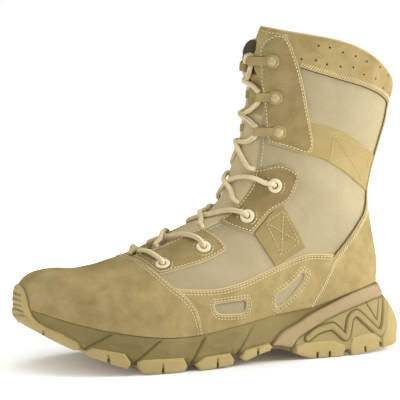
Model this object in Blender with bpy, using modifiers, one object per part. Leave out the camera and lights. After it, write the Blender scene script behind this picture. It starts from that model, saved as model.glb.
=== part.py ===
"""A military desert boot for the left foot, worked out from the sections of its last.

The tables are in millimetres: s is the station from the back of the heel towards the toe, y the
distance from the middle line (lateral side negative) and z the height above the floor. The toe
points to -X and the lateral side to -Y.
"""

import math
from collections import namedtuple

import bmesh
import bpy
import numpy as np
from mathutils import Matrix, Vector

MM = 0.001
ORIGIN_STATION = 153.0
LATERAL, MEDIAL = -1, 1

WALL = 2.2
GAP = 0.35
LEATHER = 1.3
WEBBING = 1.5
COLLAR_PAD = 2.4
TONGUE_THICK = 4.0
TONGUE_CLEAR = 1.6
INSOLE_THICK = 4.0
WELT = 2.0
FRAME_THICK = 3.4
FRAME_OUT = 1.2
POD_OUT = 0.4
LACE_RADIUS = 2.2
LACE_REST = 0.13
LACE_AWAY = 8.0
THROAT_ROW = 5.5
HEEL_ROW = 14
TOP_ROW = 23

# One row for each section of the last. Up to the heel back its foot is on the sole, and from there
# it climbs the back seam. The ridge is the front line of the closed last, wide_at the share of the
# way from foot to ridge where the section is widest, throat half the width of the lacing gap.
Section = namedtuple(
    "Section",
    "name foot_s foot_lat foot_med foot_z ridge_s ridge_z wide_lat wide_med wide_at power bow throat",
)
LAST = [
    Section("toe tip", 301.0, 6.0, 6.0, 46.0, 301.5, 55.0, 6.0, 6.0, 0.50, 2.0, 0.0, 0.0),
    Section("toe front", 297.0, -9.0, 19.0, 45.0, 297.5, 62.5, -9.5, 20.0, 0.45, 2.2, 0.0, 0.0),
    Section("toe round", 288.0, -21.0, 29.0, 42.5, 289.0, 68.0, -22.0, 30.0, 0.42, 2.3, 0.0, 0.0),
    Section("toe box", 272.0, -33.5, 37.5, 37.5, 273.0, 70.0, -35.0, 39.0, 0.40, 2.4, 0.0, 0.0),
    Section("toe crease", 250.0, -43.0, 43.0, 32.0, 251.0, 69.5, -45.0, 44.5, 0.36, 2.4, 0.0, 0.0),
    Section("ball", 226.0, -48.5, 45.5, 27.5, 226.0, 75.5, -50.0, 46.5, 0.33, 2.3, 0.0, 4.0),
    Section("vamp", 204.0, -49.0, 43.5, 25.2, 202.0, 84.5, -50.0, 45.0, 0.30, 2.2, 0.0, 12.0),
    Section("waist", 178.0, -45.5, 39.5, 25.5, 176.0, 96.0, -47.0, 42.5, 0.28, 2.1, 0.0, 15.0),
    Section("instep", 150.0, -41.5, 34.5, 29.5, 158.0, 104.0, -44.5, 40.5, 0.30, 2.1, 0.0, 17.0),
    Section("arch", 120.0, -37.5, 31.5, 34.5, 148.0, 111.5, -42.0, 40.0, 0.34, 2.1, 0.0, 18.0),
    Section("heel front", 90.0, -35.0, 31.0, 38.5, 143.0, 119.5, -40.0, 38.5, 0.38, 2.1, 0.0, 19.0),
    Section("heel", 62.0, -33.0, 31.0, 45.5, 140.0, 127.0, -38.0, 37.5, 0.42, 2.1, 0.0, 19.5),
    Section("heel round", 41.0, -27.0, 26.0, 50.0, 138.2, 133.0, -37.0, 37.0, 0.46, 2.1, 0.0, 20.0),
    Section("heel turn", 29.8, -15.5, 15.5, 50.0, 137.2, 137.5, -36.8, 36.8, 0.48, 2.1, 0.0, 20.0),
    Section("heel back", 24.5, 0.0, 0.0, 49.0, 136.5, 141.5, -36.5, 36.5, 0.50, 2.1, 0.0, 20.0),
    Section("counter", 24.5, 0.0, 0.0, 66.0, 135.3, 150.0, -37.0, 37.0, 0.50, 2.1, 0.0, 20.5),
    Section("counter top", 29.0, 0.0, 0.0, 88.0, 133.8, 160.0, -37.5, 37.5, 0.50, 2.1, 0.0, 21.0),
    Section("achilles", 33.0, 0.0, 0.0, 112.0, 132.2, 170.5, -38.0, 38.0, 0.50, 2.1, 0.0, 21.0),
    Section("ankle cuff", 31.0, 0.0, 0.0, 130.0, 130.8, 179.5, -38.5, 38.5, 0.50, 2.1, 1.0, 21.0),
    Section("shaft", 25.0, 0.0, 0.0, 150.0, 129.0, 190.5, -39.5, 39.5, 0.50, 2.1, 3.0, 20.5),
    Section("shaft top", 19.0, 0.0, 0.0, 170.0, 128.0, 203.0, -41.0, 41.0, 0.50, 2.1, 6.0, 18.5),
    Section("collar seam", 17.0, 0.0, 0.0, 181.0, 129.0, 213.0, -42.0, 42.0, 0.50, 2.1, 9.0, 14.0),
    Section("collar", 14.0, 0.0, 0.0, 192.0, 127.0, 229.0, -42.5, 42.5, 0.50, 2.1, 10.0, 11.5),
    Section("collar rim", 12.5, 0.0, 0.0, 198.5, 121.0, 243.0, -42.0, 42.0, 0.50, 2.1, 10.0, 10.0),
]

# The tread under each foot section: its outline at the floor, and the heights of its bottom and of
# the line where the midsole starts.
Tread = namedtuple("Tread", "name floor_s floor_lat floor_med bottom_z top_z")
TREAD = [
    Tread("toe tip", 300.0, 6.0, 6.0, 35.0, 42.0),
    Tread("toe front", 296.5, -9.0, 20.0, 31.5, 38.0),
    Tread("toe round", 288.0, -23.0, 31.5, 25.5, 32.0),
    Tread("toe box", 272.0, -37.0, 42.0, 17.5, 24.0),
    Tread("toe crease", 250.0, -47.0, 49.0, 8.8, 17.5),
    Tread("ball", 226.0, -51.8, 51.8, 1.2, 11.0),
    Tread("vamp", 204.0, -52.0, 49.5, 0.0, 9.5),
    Tread("waist", 178.0, -50.0, 44.5, 0.0, 10.0),
    Tread("instep", 150.0, -46.0, 39.0, 2.5, 13.0),
    Tread("arch", 120.0, -41.5, 35.0, 9.0, 15.5),
    Tread("heel front", 90.0, -39.5, 36.0, 0.0, 13.0),
    Tread("heel", 60.0, -39.0, 37.5, 0.0, 14.0),
    Tread("heel round", 28.0, -33.0, 32.0, 3.0, 17.5),
    Tread("heel turn", 8.0, -19.5, 19.5, 5.0, 31.0),
    Tread("heel back", 0.0, 0.0, 0.0, 7.0, 37.0),
]
LOOP = 2 * HEEL_ROW


def smooth(values, at, before=None, after=None):
    """A smooth curve through rows of values, read at fractional row numbers."""
    values = np.asarray(values, float)
    at = np.clip(np.asarray(at, float), 0, len(values) - 1)
    first = 2 * values[0] - values[1] if before is None else np.asarray(before, float)
    last = 2 * values[-1] - values[-2] if after is None else np.asarray(after, float)
    rows = np.concatenate([first[None], values, last[None]])
    index = np.minimum(at.astype(int), len(values) - 2)
    part = (at - index).reshape(at.shape + (1,) * (values.ndim - 1))
    a, b, c, d = (rows[index + k] for k in range(4))
    bend = 2 * a - 5 * b + 4 * c - d + part * (3 * (b - c) + d - a)
    return b + 0.5 * part * (c - a + part * bend)


def around(lateral, medial, turn):
    """A closed curve: toe, lateral rows, heel, medial rows, read at a turn from 0 to LOOP."""
    points = np.concatenate([lateral, np.asarray(medial)[-2:0:-1]])
    wrapped = np.concatenate([points, points[:1]])
    turn = np.mod(np.asarray(turn, float), LOOP)
    return smooth(wrapped, turn, before=points[-1], after=points[1])


def foot_ring(turn):
    """The lower edge of the upper as (s, y, z)."""
    rows = LAST[: HEEL_ROW + 1]
    lateral = [(row.foot_s, row.foot_lat, row.foot_z) for row in rows]
    medial = [(row.foot_s, row.foot_med, row.foot_z) for row in rows]
    return around(lateral, medial, turn)


def floor_ring(turn):
    """The tread outline as (s, y, bottom height, top height)."""
    lateral = [(row.floor_s, row.floor_lat, row.bottom_z, row.top_z) for row in TREAD]
    medial = [(row.floor_s, row.floor_med, row.bottom_z, row.top_z) for row in TREAD]
    ring = around(lateral, medial, turn)
    ring[..., 2] = np.maximum(ring[..., 2], 0.0)
    return ring


def outward(ring, turn):
    """Unit normals of a closed outline in plan."""
    step = 0.02
    run = ring(turn + step)[..., :2] - ring(turn - step)[..., :2]
    normal = np.stack([run[..., 1], -run[..., 0]], axis=-1)
    return -normal / np.linalg.norm(normal, axis=-1, keepdims=True)


def sole_wall(turn, height, out):
    """Points of the side of the sole at a height, moved out along the outline's normal."""
    turn = np.asarray(turn, float)
    top, floor = foot_ring(turn), floor_ring(turn)
    share = np.clip((height - floor[..., 2]) / (top[..., 2] - floor[..., 2]), -0.2, 1.1)[..., None]
    upper = top[..., :2] + WELT * outward(foot_ring, turn)
    plan = floor[..., :2] + share * (upper - floor[..., :2])
    plan = plan + np.asarray(out)[..., None] * outward(floor_ring, turn)
    return np.concatenate([plan, np.broadcast_to(height, turn.shape)[..., None]], axis=-1)


def side_name(side):
    return "lateral" if side == LATERAL else "medial"


def column(name):
    return np.array([getattr(row, name) for row in LAST])


def last_point(row, share, side):
    """The closed last's surface as (s, y, z): share runs from the foot or back seam to the ridge."""
    row, share = np.broadcast_arrays(np.asarray(row, float), np.asarray(share, float))
    turn = np.where(row <= HEEL_ROW, row, HEEL_ROW)
    foot = foot_ring(turn if side == LATERAL else LOOP - turn)
    seam = np.stack([column("foot_s"), column("foot_z")], axis=-1)[HEEL_ROW:]
    climb = smooth(seam, row - HEEL_ROW)
    on_seam = row > HEEL_ROW
    foot_s = np.where(on_seam, climb[..., 0], foot[..., 0])
    foot_z = np.where(on_seam, climb[..., 1], foot[..., 2])
    foot_y = np.where(on_seam, 0.0, foot[..., 1])
    ridge_s = smooth(column("ridge_s"), row)
    ridge_z = smooth(column("ridge_z"), row)
    ridge_y = 6.0 * np.clip((ridge_s - 200.0) / 101.0, 0.0, 1.0) ** 2
    near, far = ("wide_lat", "wide_med") if side == LATERAL else ("wide_med", "wide_lat")
    wide = smooth(column(near), row, before=column(far)[1])
    middle = smooth(column("wide_at"), row)
    power = 2.0 / smooth(column("power"), row)
    low = np.clip(share / middle, 0.0, 1.0) * (math.pi / 2)
    high = np.clip((share - middle) / (1.0 - middle), 0.0, 1.0) * (math.pi / 2)
    roundness = np.clip(1.0 - np.abs(foot_y) / np.maximum(np.abs(wide), 1.0), 0.0, 1.0)
    rise = (1.0 - roundness) * low / (math.pi / 2) + roundness * (1.0 - np.cos(low))
    along = np.where(share < middle, middle * rise, middle + (1.0 - middle) * np.sin(high) ** power)
    lower_y = foot_y + (wide - foot_y) * np.sin(low)
    upper_y = ridge_y + (wide - ridge_y) * np.maximum(np.cos(high), 0.0) ** power
    y = np.where(share < middle, lower_y, upper_y)
    run_s, run_z = ridge_s - foot_s, ridge_z - foot_z
    length = np.maximum(np.hypot(run_s, run_z), 1e-6)
    swell = smooth(column("bow"), row) * np.sin(math.pi * np.clip(along, 0, 1) ** 0.85) ** 1.5
    s = foot_s + along * run_s - swell * run_z / length
    z = foot_z + along * run_z + swell * run_s / length
    return np.stack([s, y, z], axis=-1)


def last_normal(row, share, side):
    """Outward unit normals of the closed last, away from the corner at the heel back."""
    row, share = np.broadcast_arrays(np.asarray(row, float), np.asarray(share, float))
    step = 0.01
    down = last_point(np.clip(row + step, 0, TOP_ROW), share, side)
    down = down - last_point(np.clip(row - step, 0, TOP_ROW), share, side)
    up = last_point(row, np.clip(share + step, 0, 1), side)
    up = up - last_point(row, np.clip(share - step, 0, 1), side)
    normal = -side * np.cross(up, down)
    return normal / np.maximum(np.linalg.norm(normal, axis=-1, keepdims=True), 1e-9)


def throat_share(row, side):
    """Where the lacing gap starts on each section, as a share of the way to the ridge."""
    row = np.asarray(row, float)
    opening = np.clip((row - THROAT_ROW) / 0.8, 0.0, 1.0)
    half = smooth(column("throat"), row) * np.sqrt(1.0 - (1.0 - opening) ** 2)
    wide = np.abs(smooth(column("wide_lat" if side == LATERAL else "wide_med"), row))
    middle = smooth(column("wide_at"), row)
    power = smooth(column("power"), row)
    turn = np.arccos(np.clip(half / wide, 0.0, 1.0) ** (power / 2)) / (math.pi / 2)
    return middle + (1.0 - middle) * turn


def to_world(points):
    points = np.asarray(points, float)
    return np.stack([ORIGIN_STATION - points[..., 0], points[..., 1], points[..., 2]], axis=-1) * MM


def clear_scene():
    for obj in list(bpy.data.objects):
        bpy.data.objects.remove(obj, do_unlink=True)


def collection_named(name, helper=False):
    group = bpy.data.collections.new(name)
    bpy.context.scene.collection.children.link(group)
    group.hide_render = helper
    return group


def finish_named(name, colour, roughness):
    material = bpy.data.materials.new(name)
    material.use_nodes = True
    shader = material.node_tree.nodes["Principled BSDF"]
    shader.inputs["Base Color"].default_value = (*colour, 1.0)
    shader.inputs["Roughness"].default_value = roughness
    return material


clear_scene()
BOOT = collection_named("military_desert_boot")
CUTTERS = collection_named("cutters", helper=True)
FINISH = {
    "gum_rubber": ((0.50, 0.39, 0.22), 0.75),
    "olive_foam": ((0.27, 0.23, 0.12), 0.8),
    "frame_plastic": ((0.46, 0.35, 0.23), 0.6),
    "pod_rubber": ((0.35, 0.28, 0.15), 0.75),
    "tan_suede": ((0.40, 0.31, 0.18), 0.95),
    "beige_canvas": ((0.52, 0.41, 0.27), 0.9),
    "webbing": ((0.50, 0.39, 0.23), 0.9),
    "lace_cord": ((0.62, 0.52, 0.36), 0.9),
    "eyelet_enamel": ((0.66, 0.57, 0.42), 0.45),
    "footbed": ((0.20, 0.16, 0.09), 0.95),
}
FINISHES = {name: finish_named(name, *look) for name, look in FINISH.items()}


def add_solid(name, finish, points, faces, closed=True):
    """A named object from points in millimetres, welded where they meet."""
    mesh = bpy.data.meshes.new(name)
    mesh.from_pydata([tuple(point) for point in to_world(points).reshape(-1, 3)], [], faces)
    solid = bmesh.new()
    solid.from_mesh(mesh)
    bmesh.ops.remove_doubles(solid, verts=solid.verts, dist=0.00001)
    bmesh.ops.dissolve_degenerate(solid, edges=solid.edges, dist=0.00001)
    if closed:
        bmesh.ops.recalc_face_normals(solid, faces=solid.faces)
    else:
        bmesh.ops.triangulate(solid, faces=solid.faces)
    solid.to_mesh(mesh)
    solid.free()
    obj = bpy.data.objects.new(name, mesh)
    (BOOT if finish else CUTTERS).objects.link(obj)
    if finish:
        mesh.materials.append(FINISHES[finish])
    else:
        obj.hide_render = True
        obj.display_type = "WIRE"
    return obj


def grid_faces(rows, columns, first=0, flip=False):
    faces = []
    for i in range(rows - 1):
        for j in range(columns - 1):
            a = first + i * columns + j
            face = (a, a + columns, a + columns + 1, a + 1)
            faces.append(face[::-1] if flip else face)
    return faces


def boolean(obj, other, operation):
    cut = obj.modifiers.new(other.name, "BOOLEAN")
    cut.operation = operation
    cut.solver = "EXACT"
    cut.object = other


def solidify(obj, thickness, offset):
    shell = obj.modifiers.new("thickness", "SOLIDIFY")
    shell.thickness = thickness * MM
    shell.offset = offset
    shell.use_even_offset = True


def side_prism(name, outline, near, far):
    """A cutter: an outline of (s, z) points stretched in y from near to far."""
    count = len(outline)
    points = [(s, y, z) for y in (near, far) for s, z in outline]
    faces = [tuple(range(count)), tuple(range(2 * count - 1, count - 1, -1))]
    faces += [(i, (i + 1) % count, count + (i + 1) % count, count + i) for i in range(count)]
    return add_solid(name, None, np.array(points, float), faces)


def station_rows(count_per_row, last=HEEL_ROW):
    """Fractional foot rows from toe to heel, denser round the toe."""
    rows = [k / count_per_row for k in range(count_per_row * last + 1)]
    return np.array(sorted(set(rows + [0.25, 0.75])))


def ladder_slab(name, finish, rows, levels):
    """A closed solid from rings of the sole outline: levels are functions of the turn."""
    turns = np.concatenate([rows, LOOP - rows[-2:0:-1]])
    count, half = len(turns), len(rows)
    points = np.concatenate([level(turns) for level in levels])
    faces = []
    for k in range(len(levels) - 1):
        for i in range(count):
            a, b = k * count + i, k * count + (i + 1) % count
            faces.append((a, b, b + count, a + count))
    for first in (0, (len(levels) - 1) * count):
        for i in range(half - 1):
            a, b = first + i, first + i + 1
            c, d = first + (count - i - 1) % count, first + (count - i) % count
            ends = [a, b] + ([c] if c != b else []) + ([d] if d not in (a, c) else [])
            faces.append(tuple(ends))
    return add_solid(name, finish, points, faces)


def sole_ribbon(name, finish, turns, low, high, out, thickness, levels=3):
    """A band on the side of the sole between two heights, thickened inward."""
    heights = [low + (high - low) * k / (levels - 1) for k in range(levels)]
    points = np.stack([sole_wall(turns, height, np.full(len(turns), out)) for height in heights], axis=1)
    faces = grid_faces(len(turns), levels)
    obj = add_solid(name, finish, points.reshape(-1, 3), faces, closed=False)
    solidify(obj, thickness, -1.0)
    return obj


def ramp(value, low, high):
    part = np.clip((np.asarray(value, float) - low) / (high - low), 0.0, 1.0)
    return part * part * (3.0 - 2.0 * part)


# The upper and the skins that its overlays are cut from
TURNS_IN_HALVES = list(range(0, 15))
UPPER_ROWS = sorted(set([0.3, 0.6] + [k / 2 for k in TURNS_IN_HALVES] + list(range(TOP_ROW + 1))))
UPPER_COLUMNS = 8


def upper_sheet(name, finish, lift=0.0):
    """The open outer surface of the upper, both halves welded at the toe, ridge and back seam."""
    rows = np.array(UPPER_ROWS)
    points, faces = [], []
    for side in (LATERAL, MEDIAL):
        edge = np.where(rows > THROAT_ROW, throat_share(rows, side), 1.0)
        share = edge[:, None] * np.linspace(0.0, 1.0, UPPER_COLUMNS)[None, :]
        faces += grid_faces(len(rows), UPPER_COLUMNS, first=sum(map(len, points)), flip=side == MEDIAL)
        points.append(last_point(rows[:, None], share, side).reshape(-1, 3))
    obj = add_solid(name, finish, np.concatenate(points), faces, closed=False)
    if lift:
        move = obj.modifiers.new("lift", "DISPLACE")
        move.strength = lift * MM
        move.mid_level = 0.0
    return obj


def make_upper():
    obj = upper_sheet("upper", "beige_canvas")
    solidify(obj, WALL, -1.0)
    return obj


def make_tongue():
    """A padded patch of the same last behind the lacing gap, fuller in its middle."""
    rows = np.concatenate([np.arange(5.0, 8.0, 0.5), np.arange(8.0, 22.0), [22.2]])
    columns = 3
    reach = 11.0
    halves = []
    for side in (LATERAL, MEDIAL):
        throat = np.maximum(smooth(column("throat"), rows), 12.0) + reach
        wide = np.abs(smooth(column("wide_lat" if side == LATERAL else "wide_med"), rows))
        middle = smooth(column("wide_at"), rows)
        power = smooth(column("power"), rows)
        start = np.arccos(np.clip(throat / wide, 0, 1) ** (power / 2)) / (math.pi / 2)
        share = middle[:, None] + (1 - middle[:, None]) * (
            start[:, None] + (1 - start[:, None]) * np.linspace(0, 1, columns + 1)[None, :]
        )
        across = np.linspace(0, 1, columns + 1)[None, :]
        full = ramp(rows, 5.7, 7.5)[:, None] * ramp(across, 0.45, 1.0)
        lift = -(WALL + TONGUE_CLEAR) + (WALL + TONGUE_CLEAR + 0.6) * full
        point = last_point(rows[:, None], share, side)
        point = point + lift[..., None] * last_normal(rows[:, None], share, side)
        halves.append(point)
    points = np.concatenate([halves[0], halves[1][:, -2::-1]], axis=1)
    faces = grid_faces(points.shape[0], points.shape[1])
    obj = add_solid("tongue", "beige_canvas", points.reshape(-1, 3), faces, closed=False)
    solidify(obj, TONGUE_THICK, -1.0)
    return obj


def make_insole():
    def level(rise):
        def ring(turn):
            foot = foot_ring(turn)
            inset = (WALL + 2.6) * outward(foot_ring, turn)
            return np.concatenate([foot[..., :2] - inset, foot[..., 2:] + rise], axis=-1)

        return ring

    return ladder_slab("insole", "footbed", station_rows(2), [level(0.5), level(0.5 + INSOLE_THICK)])


# The sole
def foot_row(turn):
    return np.minimum(turn, LOOP - turn)


def make_midsole():
    """The foam layer: a stepped side under a lip, drawn in behind the heel frame."""

    def side_waves(turn, height):
        s = floor_ring(turn)[..., 0]
        phase = np.mod((s + 1.1 * height) / 38.0, 1.0)
        return 1.3 * phase * ramp(foot_row(turn), 1.0, 2.5) * (1.0 - ramp(foot_row(turn), 7.6, 8.5))

    def level(share, out, wave, above=0.0):
        def ring(turn):
            bottom = floor_ring(turn)[..., 3] + 2 * GAP
            top = foot_ring(turn)[..., 2] - 3 * GAP - 1.9 * ramp(foot_row(turn), 11.5, 13.0)
            height = bottom + share * (top - bottom)
            inset = FRAME_THICK - FRAME_OUT + out + 2 * GAP
            behind = ramp(foot_row(turn), 8.5, 8.95)
            if above:
                edge = frame_edge(turn, "high")
                ledge = np.minimum(edge + above, top - 1.6 + above)
                height = height + behind * (ledge - height)
            if above > GAP or share == 1.0:
                behind = behind * (1.0 - ramp(top - frame_edge(turn, "high"), 1.6, 4.0))
            moved = out + wave * side_waves(turn, height) - inset * behind
            return sole_wall(turn, height, moved)

        return ring

    levels = [level(0.0, -1.2, 0.5), level(0.35, -1.8, 1.0), level(0.72, -1.2, 1.0, above=GAP)]
    levels += [level(0.82, 0.5, 0.0, above=GAP + 0.5), level(1.0, 0.2, 0.0)]
    return ladder_slab("midsole", "olive_foam", station_rows(2), levels)


# Grooves between the lugs: middle station and width at the floor
Groove = namedtuple("Groove", "name s width")
GROOVES = [
    Groove("toe", 268.2, 9.0),
    Groove("ball front", 233.8, 10.0),
    Groove("ball", 190.5, 11.0),
    Groove("ball back", 153.2, 9.0),
    Groove("heel", 62.0, 7.0),
    Groove("heel back", 32.0, 5.0),
]


def tread_height(s, name):
    stations = [row.floor_s for row in TREAD][::-1]
    return float(np.interp(s, stations, [getattr(row, name) for row in TREAD][::-1]))


def cross_groove(groove):
    low = tread_height(groove.s, "bottom_z") - 6.0
    high = tread_height(groove.s, "top_z") - 2.4
    half = groove.width / 2
    outline = [(groove.s - half, low), (groove.s - half + 1.5, high)]
    outline += [(groove.s + half - 1.5, high), (groove.s + half, low)]
    return side_prism("groove " + groove.name, outline, -70.0, 70.0)


def long_groove(name, y, first, last):
    """A groove along the tread that follows its bottom."""
    stations = np.linspace(first, last, 8)
    bottom = np.array([tread_height(s, "bottom_z") for s in stations])
    corners = [(y - 2.5, -6.0), (y + 2.5, -6.0), (y + 1.8, 4.2), (y - 1.8, 4.2)]
    points = [(s, cy, z + cz) for s, z in zip(stations, bottom) for cy, cz in corners]
    faces = [(3, 2, 1, 0), tuple(range(len(points) - 4, len(points)))]
    for i in range(len(stations) - 1):
        for j in range(4):
            a, b = 4 * i + j, 4 * i + (j + 1) % 4
            faces.append((a, b, b + 4, a + 4))
    return add_solid(name, None, np.array(points), faces)


def make_toe_bumper():
    """The rubber that wraps up over the toe, outside the vamp."""
    turns = np.array([-1.9, -1.6, -1.25, -0.9, -0.6, -0.3, 0.0, 0.3, 0.6, 0.9, 1.25, 1.6, 1.9])
    row = np.abs(turns)
    foot, floor = foot_ring(turns), floor_ring(turns)
    clear = LEATHER + 2 * GAP
    lower = [sole_wall(turns, floor[..., 2] + k * (foot[..., 2] - floor[..., 2]), np.full(len(turns), o))
             for k, o in ((0.2, 0.2), (0.7, 1.4))]
    top_share = np.interp(row, [0.0, 0.9, 1.6, 1.9], [0.62, 0.42, 0.2, 0.08])
    upper = []
    for k in (0.02, 0.5, 1.0):
        halves = []
        for index, turn in enumerate(turns):
            side = LATERAL if turn >= 0 else MEDIAL
            share = k * top_share[index]
            point = last_point(row[index], share, side)
            halves.append(point + clear * last_normal(max(row[index], 0.02), max(share, 0.02), side))
        upper.append(np.array(halves))
    points = np.stack(lower + upper, axis=1)
    faces = grid_faces(len(turns), points.shape[1])
    obj = add_solid("toe_bumper", None, points.reshape(-1, 3), faces, closed=False)
    solidify(obj, 3.0, 1.0)
    return obj


def make_outsole():
    def level(share, out):
        def ring(turn):
            floor = floor_ring(turn)
            height = floor[..., 2] + share * (floor[..., 3] - floor[..., 2])
            return sole_wall(turn, height, np.full(turn.shape, out))

        return ring

    obj = ladder_slab("outsole", "gum_rubber", station_rows(2), [level(0, -0.6), level(0.3, 0.6), level(1, 0.5)])
    for groove in GROOVES:
        boolean(obj, cross_groove(groove), "DIFFERENCE")
    for y in (-17.0, 17.0):
        boolean(obj, long_groove(f"fore groove {y:.0f}", y, 268.0, 132.0), "DIFFERENCE")
        boolean(obj, long_groove(f"heel groove {y:.0f}", y * 0.7, 104.0, 24.0), "DIFFERENCE")
    boolean(obj, make_toe_bumper(), "UNION")
    return obj


# The heel frame: heights of its two edges along the heel
FrameEdge = namedtuple("FrameEdge", "s low high")
FRAME = [
    FrameEdge(0.0, 38.0, 48.0),
    FrameEdge(40.0, 41.0, 50.0),
    FrameEdge(62.0, 37.0, 44.5),
    FrameEdge(90.0, 24.5, 35.0),
    FrameEdge(109.0, 16.0, 23.5),
    FrameEdge(121.0, 16.0, 18.0),
]


def frame_edge(turns, name):
    stations = [row.s for row in FRAME]
    return np.interp(foot_ring(turns)[..., 0], stations, [getattr(row, name) for row in FRAME])


def make_heel_frame():
    turns = np.linspace(9.0, LOOP - 9.0, 27)
    return sole_ribbon("heel_frame", "frame_plastic", turns, frame_edge(turns, "low"),
                       frame_edge(turns, "high"), FRAME_OUT, FRAME_THICK, levels=2)


def make_heel_pod(side):
    """The cushion under the frame on one side of the heel."""
    turns = np.linspace(9.75, 12.85, 12)
    turns = turns if side == LATERAL else LOOP - turns[::-1]
    low = floor_ring(turns)[..., 3] + GAP + 1.4 * ramp(foot_row(turns), 11.0, 12.4)
    high = frame_edge(turns, "low") - 2 * GAP
    return sole_ribbon("heel_pod_" + side_name(side), "pod_rubber", turns, low, high, POD_OUT, FRAME_THICK - 0.8)


# The raised zigzag on each heel pod as (s, z)
HEEL_RIB = [(95, 17.2), (76, 23.5), (63.5, 17), (57, 30), (51, 30), (33.5, 17.6), (27, 22), (23.5, 31)]
RIB_HALF = 2.0


def wall_turn(s, z):
    """The lateral turn where the side of the sole has this station."""
    turns = np.linspace(8.0, HEEL_ROW, 400)
    stations = sole_wall(turns, np.full(400, z), np.zeros(400))[:, 0]
    return float(np.interp(s, stations[::-1], turns[::-1]))


def make_heel_rib(side):
    corners = np.array(HEEL_RIB, float)
    steps = np.linspace(0, len(corners) - 1, 3 * (len(corners) - 1) + 1)
    path = np.stack([np.interp(steps, range(len(corners)), corners[:, k]) for k in (0, 1)], axis=-1)
    runs = np.diff(path, axis=0)
    runs = runs / np.linalg.norm(runs, axis=1, keepdims=True)
    normals = np.stack([-runs[:, 1], runs[:, 0]], axis=-1)
    meet = 1.0 + (normals[:-1] * normals[1:]).sum(axis=1, keepdims=True)
    inner = (normals[:-1] + normals[1:]) / np.maximum(meet, 0.6)
    corner = np.concatenate([normals[:1], inner, normals[-1:]])
    points = []
    for place, move in zip(path, corner):
        for way in (-1, 1):
            s, z = place + way * RIB_HALF * move
            turn = wall_turn(s, z)
            turn = turn if side == LATERAL else LOOP - turn
            points.append(sole_wall(np.array([turn]), np.array([z]), np.array([POD_OUT + 1.5 * GAP]))[0])
    faces = [(2 * i, 2 * i + 1, 2 * i + 3, 2 * i + 2) for i in range(len(path) - 1)]
    faces = faces if side == LATERAL else [face[::-1] for face in faces]
    obj = add_solid("heel_rib_" + side_name(side), "pod_rubber", np.array(points), faces, closed=False)
    solidify(obj, 1.3, 1.0)
    return obj


# Overlays on the upper: their outlines seen from the side as (s, z)
VAMP = [(330, 15), (330, 110), (214, 110), (214, 82), (216, 76), (211, 67), (204, 60), (195, 53),
        (187, 43), (182, 28), (180, 12)]
MUDGUARD = [(203, 59.4), (190, 58), (170, 57), (151, 60), (133, 66), (113, 73), (97, 77), (84, 77),
            (75.5, 74.5), (81, 62.8), (89, 48.8), (94.6, 38.5), (97, 20), (178, 12), (181, 28), (186, 43.4),
            (194, 53.4)]
WINDOWS = {
    "front": [(172, 46), (147, 47.5), (145.5, 45), (146, 40.5), (150, 38), (166, 39), (170, 41.5)],
    "back": [(121, 42.5), (120, 50), (110, 55.5), (99.5, 64.5), (97, 63), (101, 56), (110, 46), (119, 40)],
}
COUNTER = [(95, 20), (93.4, 38), (87.6, 48), (79.4, 62), (73.6, 73), (62, 85), (53, 95), (44, 104),
           (38.5, 113), (36.5, 125), (33, 140), (29.5, 152), (24, 170), (20.5, 179), (-20, 179), (-20, 20)]
EYESTAY_LOW = [(213, 110), (213, 82), (215, 76.4), (210.1, 67.7), (192, 72), (175, 76), (160, 82), (158.5, 86),
               (161.5, 91.5), (166, 95.5), (172, 100), (190, 110)]
EYESTAY_MID = [(160, 106), (153, 99.5), (148, 97), (140, 94.3), (135.5, 95), (121.5, 108), (114, 112),
               (106, 118), (100, 133), (102, 138), (113, 143), (125, 140), (134, 138), (160, 130)]
EYESTAY_TOP = [(140, 162), (121, 158.3), (107, 156), (95, 151.5), (91.5, 153), (91, 160), (92, 166),
               (96, 186), (101, 207), (107, 226), (110, 242), (112, 260), (140, 260)]
ANKLE_STRAP = [(90.2, 172.5), (81, 170), (69, 166), (55, 159), (38, 149.5), (31.8, 146.5), (37.9, 119.5),
               (41, 121), (53, 128), (63, 135), (75, 142), (85, 147), (90.2, 149)]
INSTEP_STRAP = [(134.3, 94), (120.4, 107), (113, 111), (98.5, 83), (121, 71.5)]
COLLAR = [(102.2, 213.2), (106.2, 226), (109.2, 242), (111.2, 262), (-20, 262), (-20, 180), (14, 180),
          (22, 185), (30, 189.2), (42, 196.2), (54, 200.2), (71, 205.3), (87, 210.3)]


def overlay(name, finish, thickness, outline, side=None):
    """A piece of the skin outside the upper, inside an outline that is seen from the side."""
    obj = upper_sheet(name, finish, lift=GAP)
    solidify(obj, thickness, 1.0)
    near, far = (-90.0, 90.0) if side is None else (0.5 * side, 90.0 * side)
    boolean(obj, side_prism(name + " outline", outline, near, far), "INTERSECT")
    return obj


def make_overlays():
    overlay("vamp", "tan_suede", LEATHER, VAMP)
    overlay("counter", "tan_suede", LEATHER, COUNTER)
    overlay("collar", "tan_suede", COLLAR_PAD, COLLAR)
    for side in (LATERAL, MEDIAL):
        label = side_name(side)
        guard = overlay("mudguard_" + label, "tan_suede", LEATHER, MUDGUARD, side)
        for place, outline in WINDOWS.items():
            window = side_prism(f"window {place} {label}", outline, 5.0 * side, 90.0 * side)
            boolean(guard, window, "DIFFERENCE")
        overlay("eyestay_low_" + label, "tan_suede", LEATHER, EYESTAY_LOW, side)
        overlay("eyestay_mid_" + label, "tan_suede", LEATHER, EYESTAY_MID, side)
        overlay("eyestay_top_" + label, "tan_suede", LEATHER, EYESTAY_TOP, side)
        overlay("ankle_strap_" + label, "webbing", WEBBING, ANKLE_STRAP, side)
        overlay("instep_strap_" + label, "webbing", WEBBING, INSTEP_STRAP, side)


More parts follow.
